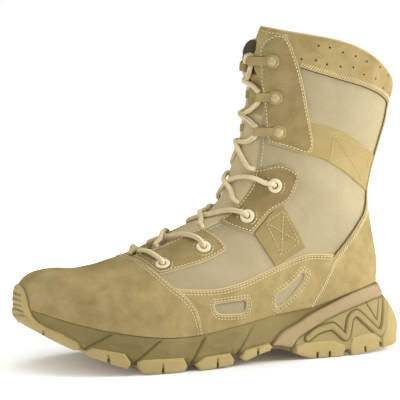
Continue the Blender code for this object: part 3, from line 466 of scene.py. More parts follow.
@dataclass
class Last:
    """The closed form of the foot that the upper and the sole follow, in millimetres.

    columns and cell set how fine its mesh is, and welt is how far the sole stands out at its top. slump
    and setback are how far the medial top corner drops, and how far the medial lacing lies back.
    """

    columns: int = 74
    cell: float = 1.75
    welt: float = 2.0
    slump: float = 10.0
    setback: float = 7.0
    halves: dict[Side, Skin] = field(default_factory=dict)

    @staticmethod
    def column(name: str) -> Array:
        """One column of the table of sections."""
        return np.array([getattr(row, name) for row in SECTIONS], float)

    @staticmethod
    def around(lateral: Array, medial: Array, turn: Array) -> Array:
        """A closed curve from toe to heel and back.

        Args:
            lateral: Its points on the lateral side.
            medial: Its points on the medial side.
            turn: Places to read, from 0 to LOOP.

        Returns:
            The curve's points.
        """
        points = np.concatenate([lateral, np.asarray(medial)[-2:0:-1]])
        wrapped = np.concatenate([points, points[:1]])
        turn = np.mod(np.asarray(turn, float), LOOP)
        return smooth(wrapped, turn, before=points[-1], after=points[1])

    def foot_ring(self, turn: Array) -> Array:
        """The lower edge of the upper.

        Args:
            turn: Places around the sole, from 0 to LOOP.

        Returns:
            Points as (s, y, z).
        """
        rows = SECTIONS[: HEEL_ROW + 1]
        lateral = [(row.foot_s, row.foot_lat, row.foot_z) for row in rows]
        medial = [(row.foot_s, row.foot_med, row.foot_z) for row in rows]
        return self.around(lateral, medial, turn)

    def floor_ring(self, turn: Array) -> Array:
        """The tread's outline.

        Args:
            turn: Places around the sole, from 0 to LOOP.

        Returns:
            Rows of (s, y, bottom, top).
        """
        lateral = [(row.floor_s, row.floor_lat, row.bottom_z, row.top_z) for row in TREADS]
        medial = [(row.floor_s, row.floor_med, row.bottom_z, row.top_z) for row in TREADS]
        ring = self.around(lateral, medial, turn)
        ring[..., 2] = np.maximum(ring[..., 2], 0.0)
        return ring

    @staticmethod
    def outward(ring: Callable[[Array], Array], turn: Array) -> Array:
        """Unit normals of a closed outline in plan."""
        run = ring(turn + 0.02)[..., :2] - ring(turn - 0.02)[..., :2]
        return unit(np.stack([-run[..., 1], run[..., 0]], axis=-1))

    def wall(self, turn: Array, height: Array, out: Array) -> Array:
        """Points of the side of the sole.

        Args:
            turn: Places around the sole.
            height: Heights above the floor.
            out: Distances moved out along the outline's normal.

        Returns:
            Points in the frame's axes, in millimetres.
        """
        turn, height, out = np.broadcast_arrays(np.asarray(turn, float), height, out)
        top, floor = self.foot_ring(turn), self.floor_ring(turn)
        share = np.clip((height - floor[..., 2]) / (top[..., 2] - floor[..., 2]), -0.2, 1.1)[..., None]
        rim = top[..., :2] + self.welt * self.outward(self.foot_ring, turn)
        plan = floor[..., :2] + share * (rim - floor[..., :2])
        plan = plan + out[..., None] * self.outward(self.floor_ring, turn)
        return np.stack([ORIGIN_STATION - plan[..., 0], plan[..., 1], height], axis=-1)

    def form(self, row: Array, share: Array, side: Side) -> Array:
        """Points of the last, with both sides of the shaft alike.

        Args:
            row: Fractional rows of the table of sections.
            share: Shares of the way from the sole or back seam to the front ridge.
            side: The side of the boot.

        Returns:
            Points in the frame's axes, in millimetres.
        """
        row, share = np.broadcast_arrays(np.asarray(row, float), np.asarray(share, float))
        turn = np.where(row <= HEEL_ROW, row, HEEL_ROW)
        foot = self.foot_ring(turn if side is Side.LATERAL else LOOP - turn)
        seam = np.stack([self.column("foot_s"), self.column("foot_z")], axis=-1)[HEEL_ROW:]
        climb = smooth(seam, row - HEEL_ROW)
        on_seam = row > HEEL_ROW
        foot_s = np.where(on_seam, climb[..., 0], foot[..., 0])
        foot_z = np.where(on_seam, climb[..., 1], foot[..., 2])
        foot_y = np.where(on_seam, 0.0, foot[..., 1])
        ridge_s = smooth(self.column("ridge_s"), row)
        ridge_z = smooth(self.column("ridge_z"), row)
        ridge_y = 6.0 * np.clip((ridge_s - 200.0) / 101.0, 0.0, 1.0) ** 2
        near, far = ("wide_lat", "wide_med") if side is Side.LATERAL else ("wide_med", "wide_lat")
        wide = smooth(self.column(near), row, before=self.column(far)[1])
        middle = smooth(self.column("wide_at"), row)
        power = 2.0 / smooth(self.column("power"), row)
        low = np.clip(share / middle, 0.0, 1.0) * (math.pi / 2)
        high = np.clip((share - middle) / (1.0 - middle), 0.0, 1.0) * (math.pi / 2)
        roundness = np.clip(1.0 - np.abs(foot_y) / np.maximum(np.abs(wide), 1.0), 0.0, 1.0)
        rise = (1.0 - roundness) * low / (math.pi / 2) + roundness * (1.0 - np.cos(low))
        upper_along = middle + (1.0 - middle) * np.sin(high) ** power
        along = np.where(share < middle, middle * rise, upper_along)
        lower_y = foot_y + (wide - foot_y) * np.sin(low)
        upper_y = ridge_y + (wide - ridge_y) * np.maximum(np.cos(high), 0.0) ** power
        y = np.where(share < middle, lower_y, upper_y)
        run_s, run_z = ridge_s - foot_s, ridge_z - foot_z
        length = np.maximum(np.hypot(run_s, run_z), 1e-6)
        swell = smooth(self.column("bow"), row) * np.sin(math.pi * np.clip(along, 0, 1) ** 0.85) ** 1.5
        s = foot_s + along * run_s - swell * run_z / length
        z = foot_z + along * run_z + swell * run_s / length
        return np.stack([ORIGIN_STATION - s, y, z], axis=-1)

    def point(self, row: Array, share: Array, side: Side) -> Array:
        """Points of the last as worn: set back along the medial lacing, lower at that top corner.

        Args:
            row: Fractional rows of the table of sections.
            share: Shares of the way from the sole or back seam to the front ridge.
            side: The side of the boot.

        Returns:
            Points in the frame's axes, in millimetres.
        """
        row, share = np.broadcast_arrays(np.asarray(row, float), np.asarray(share, float))
        place = self.form(row, share, side)
        inner = ramp(place[..., 1], -8.0, 12.0)
        back = ramp(row, 13.5, 16.5) + 0.2 * bump(row, 19.2, 0.8) - 0.4 * ramp(row, 19.8, 21.3)
        place[..., 0] += self.setback * back * inner * ramp(share, 0.55, 0.85)
        place[..., 2] -= self.slump * ramp(row, 19.5, 23.0) * inner * ramp(share, 0.55, 0.95)
        return place

    def normal(self, row: Array, share: Array, side: Side) -> Array:
        """Outward normals of the last, at any place but the corner at the heel back.

        Args:
            row: Fractional rows of the table of sections.
            share: Shares of the way from the sole or back seam to the front ridge.
            side: The side of the boot.

        Returns:
            The unit normals.
        """
        row, share = np.broadcast_arrays(np.asarray(row, float), np.asarray(share, float))
        step = 0.01
        ahead = self.point(np.clip(row + step, 0, TOP_ROW), share, side)
        ahead = ahead - self.point(np.clip(row - step, 0, TOP_ROW), share, side)
        up = self.point(row, np.clip(share + step, 0, 1), side)
        up = up - self.point(row, np.clip(share - step, 0, 1), side)
        return unit(side.value * np.cross(up, ahead))

    def share_at(self, row: Array, away: Array, side: Side) -> Array:
        """Where a section is a given distance from the middle line.

        Args:
            row: Fractional rows of the table of sections.
            away: Distances from the middle line.
            side: The side of the boot.

        Returns:
            The share of the way to the ridge.
        """
        wide = np.abs(smooth(self.column("wide_lat" if side is Side.LATERAL else "wide_med"), row))
        middle = smooth(self.column("wide_at"), row)
        power = smooth(self.column("power"), row)
        turn = np.arccos(np.clip(np.asarray(away) / wide, 0.0, 1.0) ** (power / 2)) / (math.pi / 2)
        return middle + (1.0 - middle) * turn

    def throat_half(self, row: Array) -> Array:
        """Half the width of the lacing gap.

        Args:
            row: Fractional rows of the table of sections.

        Returns:
            The half width at each row.
        """
        row = np.asarray(row, float)
        opening = np.clip((row - THROAT_ROW) / 0.8, 0.0, 1.0)
        return smooth(self.column("throat"), row) * np.sqrt(1.0 - (1.0 - opening) ** 2)

    @staticmethod
    def hollow(row: Array) -> Array:
        """How far the tongue lies back from the front line of the shaft."""
        return 2.0 * ramp(row, 13.0, 16.0)

    def front(self, row: float, y: float, lift: float) -> Array:
        """A point over the front of the last.

        Args:
            row: Row of the table of sections.
            y: Signed distance from the middle line.
            lift: Height over the surface.

        Returns:
            The point.
        """
        side = Side.LATERAL if y < 0 else Side.MEDIAL
        share = float(np.minimum(self.share_at(row, abs(y), side), 0.999))
        return self.point(row, share, side) + lift * self.normal(row, share, side)

    def locate(self, s: float, z: float, side: Side) -> tuple[float, float]:
        """The place on the last that shows at (s, z) from the side.

        Args:
            s: Station in the side view.
            z: Height in the side view.
            side: The side of the boot.

        Returns:
            Its row and share.
        """
        row_span, share_span = (5.0, float(TOP_ROW)), (0.05, 0.999)
        for _ in range(4):
            rows = np.linspace(*row_span, 61)[:, None]
            shares = np.linspace(*share_span, 61)[None, :]
            point = self.form(rows, shares, side)
            miss = np.hypot(ORIGIN_STATION - point[..., 0] - s, point[..., 2] - z)
            i, j = np.unravel_index(miss.argmin(), miss.shape)
            row, share = float(rows[i, 0]), float(shares[0, j])
            row_step, share_step = 2 * (rows[1, 0] - rows[0, 0]), 2 * (shares[0, 1] - shares[0, 0])
            row_span = (max(row - row_step, 0.0), min(row + row_step, TOP_ROW))
            share_span = (max(share - share_step, 0.0), min(share + share_step, 1.0))
        return row, share

    def _rows(self) -> Array:
        """Rows close enough together for cells of the wanted size.

        Returns:
            The rows in order.
        """
        rows = []
        for row in range(TOP_ROW):
            ends = self.point(np.array([row, row + 1])[:, None], np.array([[0.05, 0.5, 0.98]]), Side.LATERAL)
            length = np.linalg.norm(ends[1] - ends[0], axis=-1).max()
            rows.append(np.linspace(row, row + 1, max(int(length / self.cell), 4), endpoint=False))
        return np.concatenate([*rows, [float(TOP_ROW)]])

    def _half(self, side: Side) -> Skin:
        """One half of the upper's surface in even cells.

        Args:
            side: The side of the boot.

        Returns:
            Its triangles and their values, without normals.
        """
        rows = self._rows()
        edge = np.where(rows > THROAT_ROW, self.share_at(rows, self.throat_half(rows), side), 1.0)
        share = edge[:, None] * np.linspace(0.0, 1.0, 161)
        run = np.linalg.norm(np.diff(self.point(rows[:, None], share, side), axis=1), axis=2)
        arc = np.concatenate([np.zeros((len(rows), 1)), np.cumsum(run, axis=1)], axis=1)
        even = np.linspace(0.0, 1.0, self.columns)
        share = np.stack([np.interp(even * a[-1], a, b) for a, b in zip(arc, share)])
        place = self.point(rows[:, None], share, side)
        along = even[None] * arc[:, -1:]
        step = np.linalg.norm(np.diff(place, axis=0), axis=2)
        travel = np.concatenate([[0.0], np.cumsum(step[:, self.columns // 2])])
        rim = np.concatenate([np.cumsum(step[::-1], axis=0)[::-1], np.zeros((1, self.columns))])
        throat = np.where(rows[:, None] > THROAT_ROW, arc[:, -1:] - along, 99.0)
        count = self.columns
        a = (np.arange(len(rows) - 1)[:, None] * count + np.arange(count - 1)).reshape(-1)
        b, c, d = a + count, a + count + 1, a + 1
        faces = np.concatenate([np.stack([a, b, c], 1), np.stack([a, c, d], 1)])
        if side is Side.MEDIAL:
            faces = faces[:, ::-1]
        even_place = self.form(rows[:, None], share, side).reshape(-1, 3)
        fields = {
            "place": place.reshape(-1, 3),
            "flat": np.stack([ORIGIN_STATION - even_place[:, 0], even_place[:, 2]], axis=-1),
            "cloth": np.stack(np.broadcast_arrays(travel[:, None], along), axis=-1).reshape(-1, 2),
            "row": np.repeat(rows, count),
            "throat_gap": throat.reshape(-1),
            "rim_gap": rim.reshape(-1),
        }
        return Skin(fields, faces)

    def build(self, creases: Sequence["Crease"]) -> None:
        """Makes both halves of the surface, with their normals and creases.

        Args:
            creases: The creases to press in.
        """
        skins = [self._half(side) for side in BOTH]
        both = Skin.joined(skins)
        corner = both["place"][both.faces]
        face_normal = np.cross(corner[:, 1] - corner[:, 0], corner[:, 2] - corner[:, 0])
        total = np.zeros_like(both["place"])
        for k in range(3):
            np.add.at(total, both.faces[:, k], face_normal)
        total = unit(total)
        places = {tuple(key): value for key, value in zip((np.round(both["place"], 3) + 0.0).tolist(), total)}
        for side, skin in zip(BOTH, skins):
            keys = (np.round(skin["place"], 3) + 0.0).tolist()
            normal = np.array([places[tuple(key)] for key in keys])
            if (normal[:, 1] * side.value).mean() < 0:
                normal = -normal
                skin.faces = skin.faces[:, ::-1]
            skin.fields["normal"] = normal
            depth = sum((crease.depth_at(skin["flat"]) for crease in creases), np.zeros(len(normal)))
            skin.fields["place"] = skin["place"] + depth[:, None] * normal
            self.halves[side] = skin


@dataclass(frozen=True)
class Crease:
    """A soft trough with raised shoulders along a line of the side view."""

    line: tuple[tuple[float, float], ...]
    depth: float
    width: float

    def depth_at(self, points: Array) -> Array:
        """How far the surface moves out.

        Args:
            points: Points of the side view.

        Returns:
            Distances, negative where it sinks.
        """
        gap = line_distance(points, self.line)
        trough = -np.exp(-((gap / self.width) ** 2))
        shoulder = 0.45 * np.exp(-(((gap - 2.0 * self.width) / self.width) ** 2))
        ends = np.asarray([self.line[0], self.line[-1]])
        fade = np.linalg.norm(points[:, None] - ends[None], axis=-1).min(axis=1)
        return self.depth * (trough + shoulder) * ramp(fade, 0.0, 4.0 * self.width)


class Shade:
    """A node tree with short calls for adding and joining nodes."""

    def __init__(self, tree: bpy.types.NodeTree) -> None:
        """Starts on an existing tree."""
        self.tree = tree

    def add(self, kind: str, inputs: dict | None = None, **settings: object) -> bpy.types.Node:
        """Adds a node.

        Args:
            kind: Blender's name of the node's type.
            inputs: Values or output sockets for its inputs, by name or number.
            settings: Values of its own properties.

        Returns:
            The new node.
        """
        node = self.tree.nodes.new(kind)
        for key, value in settings.items():
            setattr(node, key, value)
        for key, value in (inputs or {}).items():
            self.feed(node.inputs[key], value)
        return node

    def feed(self, socket: Socket, value: object) -> None:
        """Gives an input socket a value, a colour or a link.

        Args:
            socket: The input socket.
            value: A plain value, a colour of three parts, or an output socket.
        """
        if isinstance(value, Socket):
            self.tree.links.new(value, socket)
        else:
            socket.default_value = (*value, 1.0) if isinstance(value, tuple) and len(value) == 3 else value

    def math(self, operation: str, first: object, second: object = 0.0, third: object = 0.0) -> Socket:
        """The result of a Math node."""
        return self.add("ShaderNodeMath", {0: first, 1: second, 2: third}, operation=operation).outputs[0]

    def mix(self, share: object, first: object, second: object) -> Socket:
        """The colour of a Mix node."""
        return self.add("ShaderNodeMix", {0: share, 6: first, 7: second}, data_type="RGBA").outputs[2]


FLOAT, VECTOR = "NodeSocketFloat", "NodeSocketVector"


def group_named(
    name: str, inputs: Iterable[tuple[str, str, float | None]], outputs: Iterable[str]
) -> tuple[Shade, dict[str, Socket], bpy.types.Node]:
    """A new shader node group that puts out values.

    Args:
        name: The group's name.
        inputs: Name, socket type and default of each input.
        outputs: Name of each output.

    Returns:
        The group's tree, its input sockets by name, and its output node.
    """
    tree = bpy.data.node_groups.new(name, "ShaderNodeTree")
    for label, kind, start in inputs:
        socket = tree.interface.new_socket(label, in_out="INPUT", socket_type=kind)
        if start is not None:
            socket.default_value = start
    for label in outputs:
        tree.interface.new_socket(label, in_out="OUTPUT", socket_type=FLOAT)
    entry = tree.nodes.new("NodeGroupInput")
    return Shade(tree), {socket.name: socket for socket in entry.outputs}, tree.nodes.new("NodeGroupOutput")


@lru_cache(maxsize=None)
def mottle_group() -> bpy.types.NodeTree:
    """Slow and fine changes of tone over a surface, from 0 to 1.

    Returns:
        The node group, with outputs Tone and Speck.
    """
    inputs = [("Place", VECTOR, None), ("Slow", FLOAT, 45.0), ("Fine", FLOAT, 600.0)]
    shade, given, out = group_named("mottle", inputs, ["Tone", "Speck"])
    slow = {"Scale": given["Slow"], "Detail": 6.0, "Roughness": 0.62, "Distortion": 0.4}
    fine = {"Scale": given["Fine"], "Detail": 2.0}
    for name, values in (("Tone", slow), ("Speck", fine)):
        noise = shade.add("ShaderNodeTexNoise", {"Vector": given["Place"], **values}).outputs[0]
        spread = shade.add("ShaderNodeMapRange", {"Value": noise, "From Min": 0.3, "From Max": 0.7})
        shade.feed(out.inputs[name], spread.outputs[0])
    return shade.tree


@lru_cache(maxsize=None)
def weave_group() -> bpy.types.NodeTree:
    """A plain weave, from a flat place in metres and the threads in a metre.

    Returns:
        The node group, with output Height from 0 to 1.
    """
    inputs = [("Cloth", VECTOR, None), ("Threads", FLOAT, 1400.0), ("Slant", FLOAT, 0.0)]
    shade, given, out = group_named("weave", inputs, ["Height"])
    parts = shade.add("ShaderNodeSeparateXYZ", {0: given["Cloth"]}).outputs
    slanted = shade.math("MULTIPLY_ADD", parts[1], given["Slant"], parts[0])
    turn = shade.math("MULTIPLY", given["Threads"], math.pi)
    across = shade.math("SINE", shade.math("MULTIPLY", slanted, turn))
    along = shade.math("SINE", shade.math("MULTIPLY", parts[1], turn))
    both = shade.math("MULTIPLY", across, along)
    shade.feed(out.inputs["Height"], shade.math("MULTIPLY_ADD", both, 0.5, 0.5))
    return shade.tree


@dataclass(frozen=True)
class Finish:
    """What the finishes share: a colour that varies, a roughness and a bump.

    slot names a material slot, which is not used; slow and fine are the scales of its changes of tone,
    fine_share is the part that the fine one has, and depth is the height of the bump in metres.
    """

    name: str
    slot: str
    dark: tuple[float, float, float]
    light: tuple[float, float, float]
    roughness: float = 0.9
    slow: float = 45.0
    fine: float = 900.0
    depth: float = 0.0002
    fine_share: float = 0.35
    coat: float = 0.0
    specular: float = 0.12
    sheen: float = 0.0

    def colour(self, shade: Shade, tone: Socket, speck: Socket) -> Socket:
        """The base colour, with painted shade mixed in where the cut mark is below 0.

        Args:
            shade: The material's nodes.
            tone: The slow change of tone.
            speck: The fine change of tone.

        Returns:
            The socket of the colour.
        """
        slow = shade.math("MULTIPLY", tone, 1.0 - self.fine_share)
        mixed = shade.math("MULTIPLY_ADD", speck, self.fine_share, slow)
        mark = shade.add("ShaderNodeAttribute", attribute_name="cut").outputs["Fac"]
        # Painted shade: where the cut mark is below 0, the colour runs towards a dark copy of itself
        groove = shade.math("MULTIPLY", mark, -0.75)
        shadow = tuple(0.3 * value for value in self.dark)
        return shade.mix(groove, shade.mix(mixed, self.dark, self.light), shadow)

    def height(self, shade: Shade, speck: Socket) -> Socket:
        """The relief that is too fine to model."""
        return speck

    @lru_cache(maxsize=None)
    def material(self) -> bpy.types.Material:
        """The finish's material, made the first time that it is asked for.

        Returns:
            The material.
        """
        material = bpy.data.materials.new(self.name)
        material.use_nodes = True
        shade = Shade(material.node_tree)
        place = shade.add("ShaderNodeTexCoord").outputs["Object"]
        pattern = {"Place": place, "Slow": self.slow, "Fine": self.fine}
        mottle = shade.add("ShaderNodeGroup", pattern, node_tree=mottle_group())
        tone, speck = mottle.outputs["Tone"], mottle.outputs["Speck"]
        relief = {"Height": self.height(shade, speck), "Distance": self.depth, "Strength": 1.0}
        surface = {
            "Base Color": self.colour(shade, tone, speck),
            "Roughness": shade.math("MULTIPLY_ADD", tone, 0.1, self.roughness - 0.05),
            "Normal": shade.add("ShaderNodeBump", relief).outputs[0],
            "Sheen Weight": self.sheen,
            "Sheen Roughness": 0.6,
            "Coat Weight": self.coat,
            "Specular IOR Level": self.specular,
        }
        shader = material.node_tree.nodes["Principled BSDF"]
        for name, value in surface.items():
            shade.feed(shader.inputs[name], value)
        return material


@dataclass(frozen=True)
class Suede(Finish):
    """Brushed leather whose cut edges are paler."""

    raw_edge: tuple[float, float, float] = (0.55, 0.44, 0.26)

    def colour(self, shade: Shade, tone: Socket, speck: Socket) -> Socket:
        """The nap's colour, paler along a cut edge, where the cut mark is above 0.

        Args:
            shade: The material's nodes.
            tone: The slow change of tone.
            speck: The fine change of tone.

        Returns:
            The socket of the colour.
        """
        nap = Finish.colour(self, shade, tone, speck)
        cut = shade.add("ShaderNodeAttribute", attribute_name="cut").outputs["Fac"]
        return shade.mix(shade.math("MULTIPLY", cut, 0.75), nap, self.raw_edge)


@dataclass(frozen=True)
class Cloth(Finish):
    """Woven cloth that follows its own flat coordinates."""

    threads: float = 1300.0
    slant: float = 0.0
    weave_share: float = 0.12

    def _weave(self, shade: Shade) -> Socket:
        """The height of the weave.

        Args:
            shade: The material's nodes.

        Returns:
            The socket of the height.
        """
        cloth = shade.add("ShaderNodeUVMap", uv_map="cloth").outputs[0]
        pattern = {"Cloth": cloth, "Threads": self.threads, "Slant": self.slant}
        return shade.add("ShaderNodeGroup", pattern, node_tree=weave_group()).outputs["Height"]

    def colour(self, shade: Shade, tone: Socket, speck: Socket) -> Socket:
        """The yarn's colour, darker between the threads.

        Args:
            shade: The material's nodes.
            tone: The slow change of tone.
            speck: The fine change of tone.

        Returns:
            The socket of the colour.
        """
        yarn = Finish.colour(self, shade, tone, speck)
        gap = shade.math("MULTIPLY", shade.math("SUBTRACT", 1.0, self._weave(shade)), self.weave_share)
        return shade.mix(gap, yarn, tuple(0.45 * value for value in self.dark))

    def height(self, shade: Shade, speck: Socket) -> Socket:
        """The weave with a little fuzz."""
        return shade.math("MULTIPLY_ADD", speck, 0.3, self._weave(shade))


def srgb(red: int, green: int, blue: int) -> tuple[float, float, float]:
    """A linear colour from display values."""
    values = [value / 255 for value in (red, green, blue)]
    return tuple(v / 12.92 if v <= 0.04045 else ((v + 0.055) / 1.055) ** 2.4 for v in values)


SUEDE = Suede("suede_nap", "tan_suede", srgb(142, 123, 77), srgb(182, 162, 113), 0.95, 60.0, 1500.0,
              0.00022, 0.3, raw_edge=srgb(216, 199, 154))
EYESTAY = replace(SUEDE, name="eyestay_suede", dark=srgb(131, 113, 70), light=srgb(168, 149, 102),
                  raw_edge=srgb(200, 183, 138))
# Darker copy of the eyestay suede: painted shade on the middle eyestay panels
SHADED_MID_SUEDE = replace(EYESTAY, name="mid_eyestay_suede", dark=srgb(119, 102, 63), light=srgb(152, 134, 91),
                    raw_edge=srgb(186, 170, 126))
# Lighter copy of the suede: painted light on the lace keeper, whose face turns from the lamps
LIT_KEEPER_SUEDE = replace(SUEDE, name="keeper_suede", dark=srgb(192, 174, 122), light=srgb(212, 196, 146), slow=90.0,
                 depth=0.00015)
CANVAS = Cloth("canvas_weave", "beige_canvas", srgb(160, 146, 112), srgb(178, 165, 132), 0.9, 30.0, 900.0,
               0.00008, threads=1500.0)
# Lighter copy of the canvas: painted light on the tongue, which lies in shade in the lacing gap
LIT_TONGUE_CANVAS = replace(CANVAS, name="tongue_weave", dark=srgb(186, 170, 130), light=srgb(203, 188, 150))
WEBBING = Cloth("strap_weave", "webbing", srgb(154, 135, 87), srgb(174, 156, 107), 0.88, 60.0, 900.0,
                0.00012, threads=1100.0, slant=0.8, weave_share=0.14)
# Darker copy of the strap webbing: painted shade on the instep straps
SHADED_INSTEP_WEBBING = replace(WEBBING, name="instep_weave", dark=srgb(138, 121, 78), light=srgb(157, 140, 96))
LINING = Cloth("dark_lining", "footbed", srgb(66, 60, 42), srgb(90, 82, 60), 0.95, 40.0, 700.0, 0.0002,
               threads=700.0, weave_share=0.5)
LACE = Cloth("braided_cord", "lace_cord", srgb(214, 194, 152), srgb(235, 217, 178), 0.88, 120.0, 1200.0,
             0.00025, threads=800.0, slant=1.4, weave_share=0.22)
THREAD = Finish("cream_thread", "lace_cord", srgb(204, 190, 148), srgb(224, 211, 172), 0.8, 200.0, 3000.0,
                0.00005)
TAN_THREAD = replace(THREAD, name="tan_thread", slot="webbing", dark=srgb(184, 166, 112),
                     light=srgb(202, 184, 132))
GUM = Finish("gum_sole", "gum_rubber", srgb(172, 152, 98), srgb(190, 170, 117), 0.7, 30.0, 1300.0, 0.00006,
             specular=0.25)
FOAM = Finish("foam_layer", "olive_foam", srgb(128, 113, 70), srgb(147, 132, 87), 0.8, 35.0, 1600.0, 0.00006)
BAND = Finish("heel_band_plastic", "frame_plastic", srgb(158, 137, 98), srgb(171, 149, 109), 0.6, 30.0,
              1200.0, 0.00004, specular=0.3)
POD = Finish("pod_side", "pod_rubber", srgb(153, 136, 90), srgb(171, 154, 106), 0.72, 35.0, 1400.0, 0.00006)
ENAMEL = Finish("cream_enamel", "eyelet_enamel", srgb(206, 195, 157), srgb(222, 212, 176), 0.4, 60.0, 500.0,
                0.00003, coat=0.3, specular=0.5)
RIVET = replace(ENAMEL, name="rivet_enamel", dark=srgb(166, 148, 104), light=srgb(182, 164, 120),
                roughness=0.38, coat=0.25)
HOLE = Finish("pinhole_shade", "tan_suede", srgb(50, 40, 20), srgb(68, 56, 32), 0.95, 300.0, 2000.0, 0.00002)
# Painted shadow: dark thread laid in the shaded gap along the counter's edge and under the collar
SEAM_SHADOW = Finish("dark_piping", "webbing", srgb(84, 72, 42), srgb(104, 90, 56), 0.9, 200.0, 2000.0, 0.00005)
FOOTBED = Finish("insole_felt", "footbed", srgb(92, 80, 52), srgb(116, 102, 70), 0.95, 40.0, 900.0, 0.0002,
                 sheen=0.2)


def make_piece(name: str, points: Array, faces: object, finish: Finish, nodes: Sequence[str] = (),
               cloth: Array | None = None, cut: Array | None = None,
               sharp_deg: float = 50.0) -> bpy.types.Object:
    """A finished piece that rides on the boot.

    Args:
        name: The piece's name.
        points: Points in the frame's axes, in millimetres.
        faces: Corner numbers of each face.
        finish: The finish that covers it.
        nodes: The solids that it stands for.
        cloth: A flat place for each point, in millimetres.
        cut: A mark for each point: above 0 on a cut edge, below 0 where shade is painted in.
        sharp_deg: Edges that turn more than this show as sharp.

    Returns:
        The new object.
    """
    mesh = bpy.data.meshes.new(name)
    corners = faces.tolist() if isinstance(faces, np.ndarray) else faces
    mesh.from_pydata((np.asarray(points) * MM).tolist(), [], corners)
    if cloth is not None:
        loops = np.empty(len(mesh.loops), int)
        mesh.loops.foreach_get("vertex_index", loops)
        layer = mesh.uv_layers.new(name="cloth")
        layer.data.foreach_set("uv", (np.asarray(cloth)[loops] * MM).astype(np.float32).ravel())
    mark = mesh.attributes.new("cut", "FLOAT", "POINT")
    if cut is not None:
        mark.data.foreach_set("value", np.asarray(cut, np.float32))
    solid = bmesh.new()
    solid.from_mesh(mesh)
    bmesh.ops.remove_doubles(solid, verts=solid.verts, dist=2e-6)
    bmesh.ops.dissolve_degenerate(solid, edges=solid.edges, dist=1e-6)
    bmesh.ops.recalc_face_normals(solid, faces=solid.faces)
    solid.to_mesh(mesh)
    solid.free()
    mesh.shade_smooth()
    mesh.set_sharp_from_angle(angle=math.radians(sharp_deg))
    mesh.materials.append(finish.material())
    obj = bpy.data.objects.new(name, mesh)
    bpy.context.scene.collection.objects.link(obj)
    return dress(obj, nodes)


def dress(obj: bpy.types.Object, nodes: Sequence[str]) -> bpy.types.Object:
    """Makes an object ride on the boot in place of some solids.

    Args:
        obj: The piece.
        nodes: The solids that it stands for.

    Returns:
        The same object.
    """
    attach(obj, "root")
    if nodes:
        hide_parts(*nodes)
    LOG.info("%s: %d faces", obj.name, len(obj.data.polygons))
    return obj


def closed_shell(top: Array, bottom: Array, faces: Array) -> tuple[Array, Array]:
    """A closed piece between two copies of a surface.

    Args:
        top: Points of the outer copy.
        bottom: Points of the inner copy.
        faces: Triangles of one copy.

    Returns:
        Points and faces.
    """
    count = len(top)
    edges = np.concatenate([faces[:, [0, 1]], faces[:, [1, 2]], faces[:, [2, 0]]])
    keys = edges[:, 0] * count + edges[:, 1]
    rim = edges[~np.isin(keys, edges[:, 1] * count + edges[:, 0])]
    a, b = rim.T
    walls = [np.stack([b, a, a + count], 1), np.stack([b, a + count, b + count], 1)]
    return np.concatenate([top, bottom]), np.concatenate([faces, faces[:, ::-1] + count, *walls])


def grid_faces(rows: int, columns: int, first: int = 0) -> list[tuple[int, int, int, int]]:
    """Four-cornered faces of a grid of points."""
    starts = [first + i * columns + j for i in range(rows - 1) for j in range(columns - 1)]
    return [(a, a + columns, a + columns + 1, a + 1) for a in starts]


def closed_grid(outer: Array, inner: Array) -> tuple[Array, list]:
    """A closed piece between two grids of the same size.

    Args:
        outer: The outer grid of points.
        inner: The inner grid.

    Returns:
        Points and faces.
    """
    rows, columns = outer.shape[:2]
    count = rows * columns
    faces = grid_faces(rows, columns) + [face[::-1] for face in grid_faces(rows, columns, count)]
    rim = [(0, j) for j in range(columns)] + [(i, columns - 1) for i in range(1, rows)]
    rim += [(rows - 1, j) for j in range(columns - 2, -1, -1)] + [(i, 0) for i in range(rows - 2, 0, -1)]
    line = [i * columns + j for i, j in rim]
    for a, b in zip(line, line[1:] + line[:1]):
        faces.append((a, b, b + count, a + count))
    return np.concatenate([outer.reshape(-1, 3), inner.reshape(-1, 3)]), faces


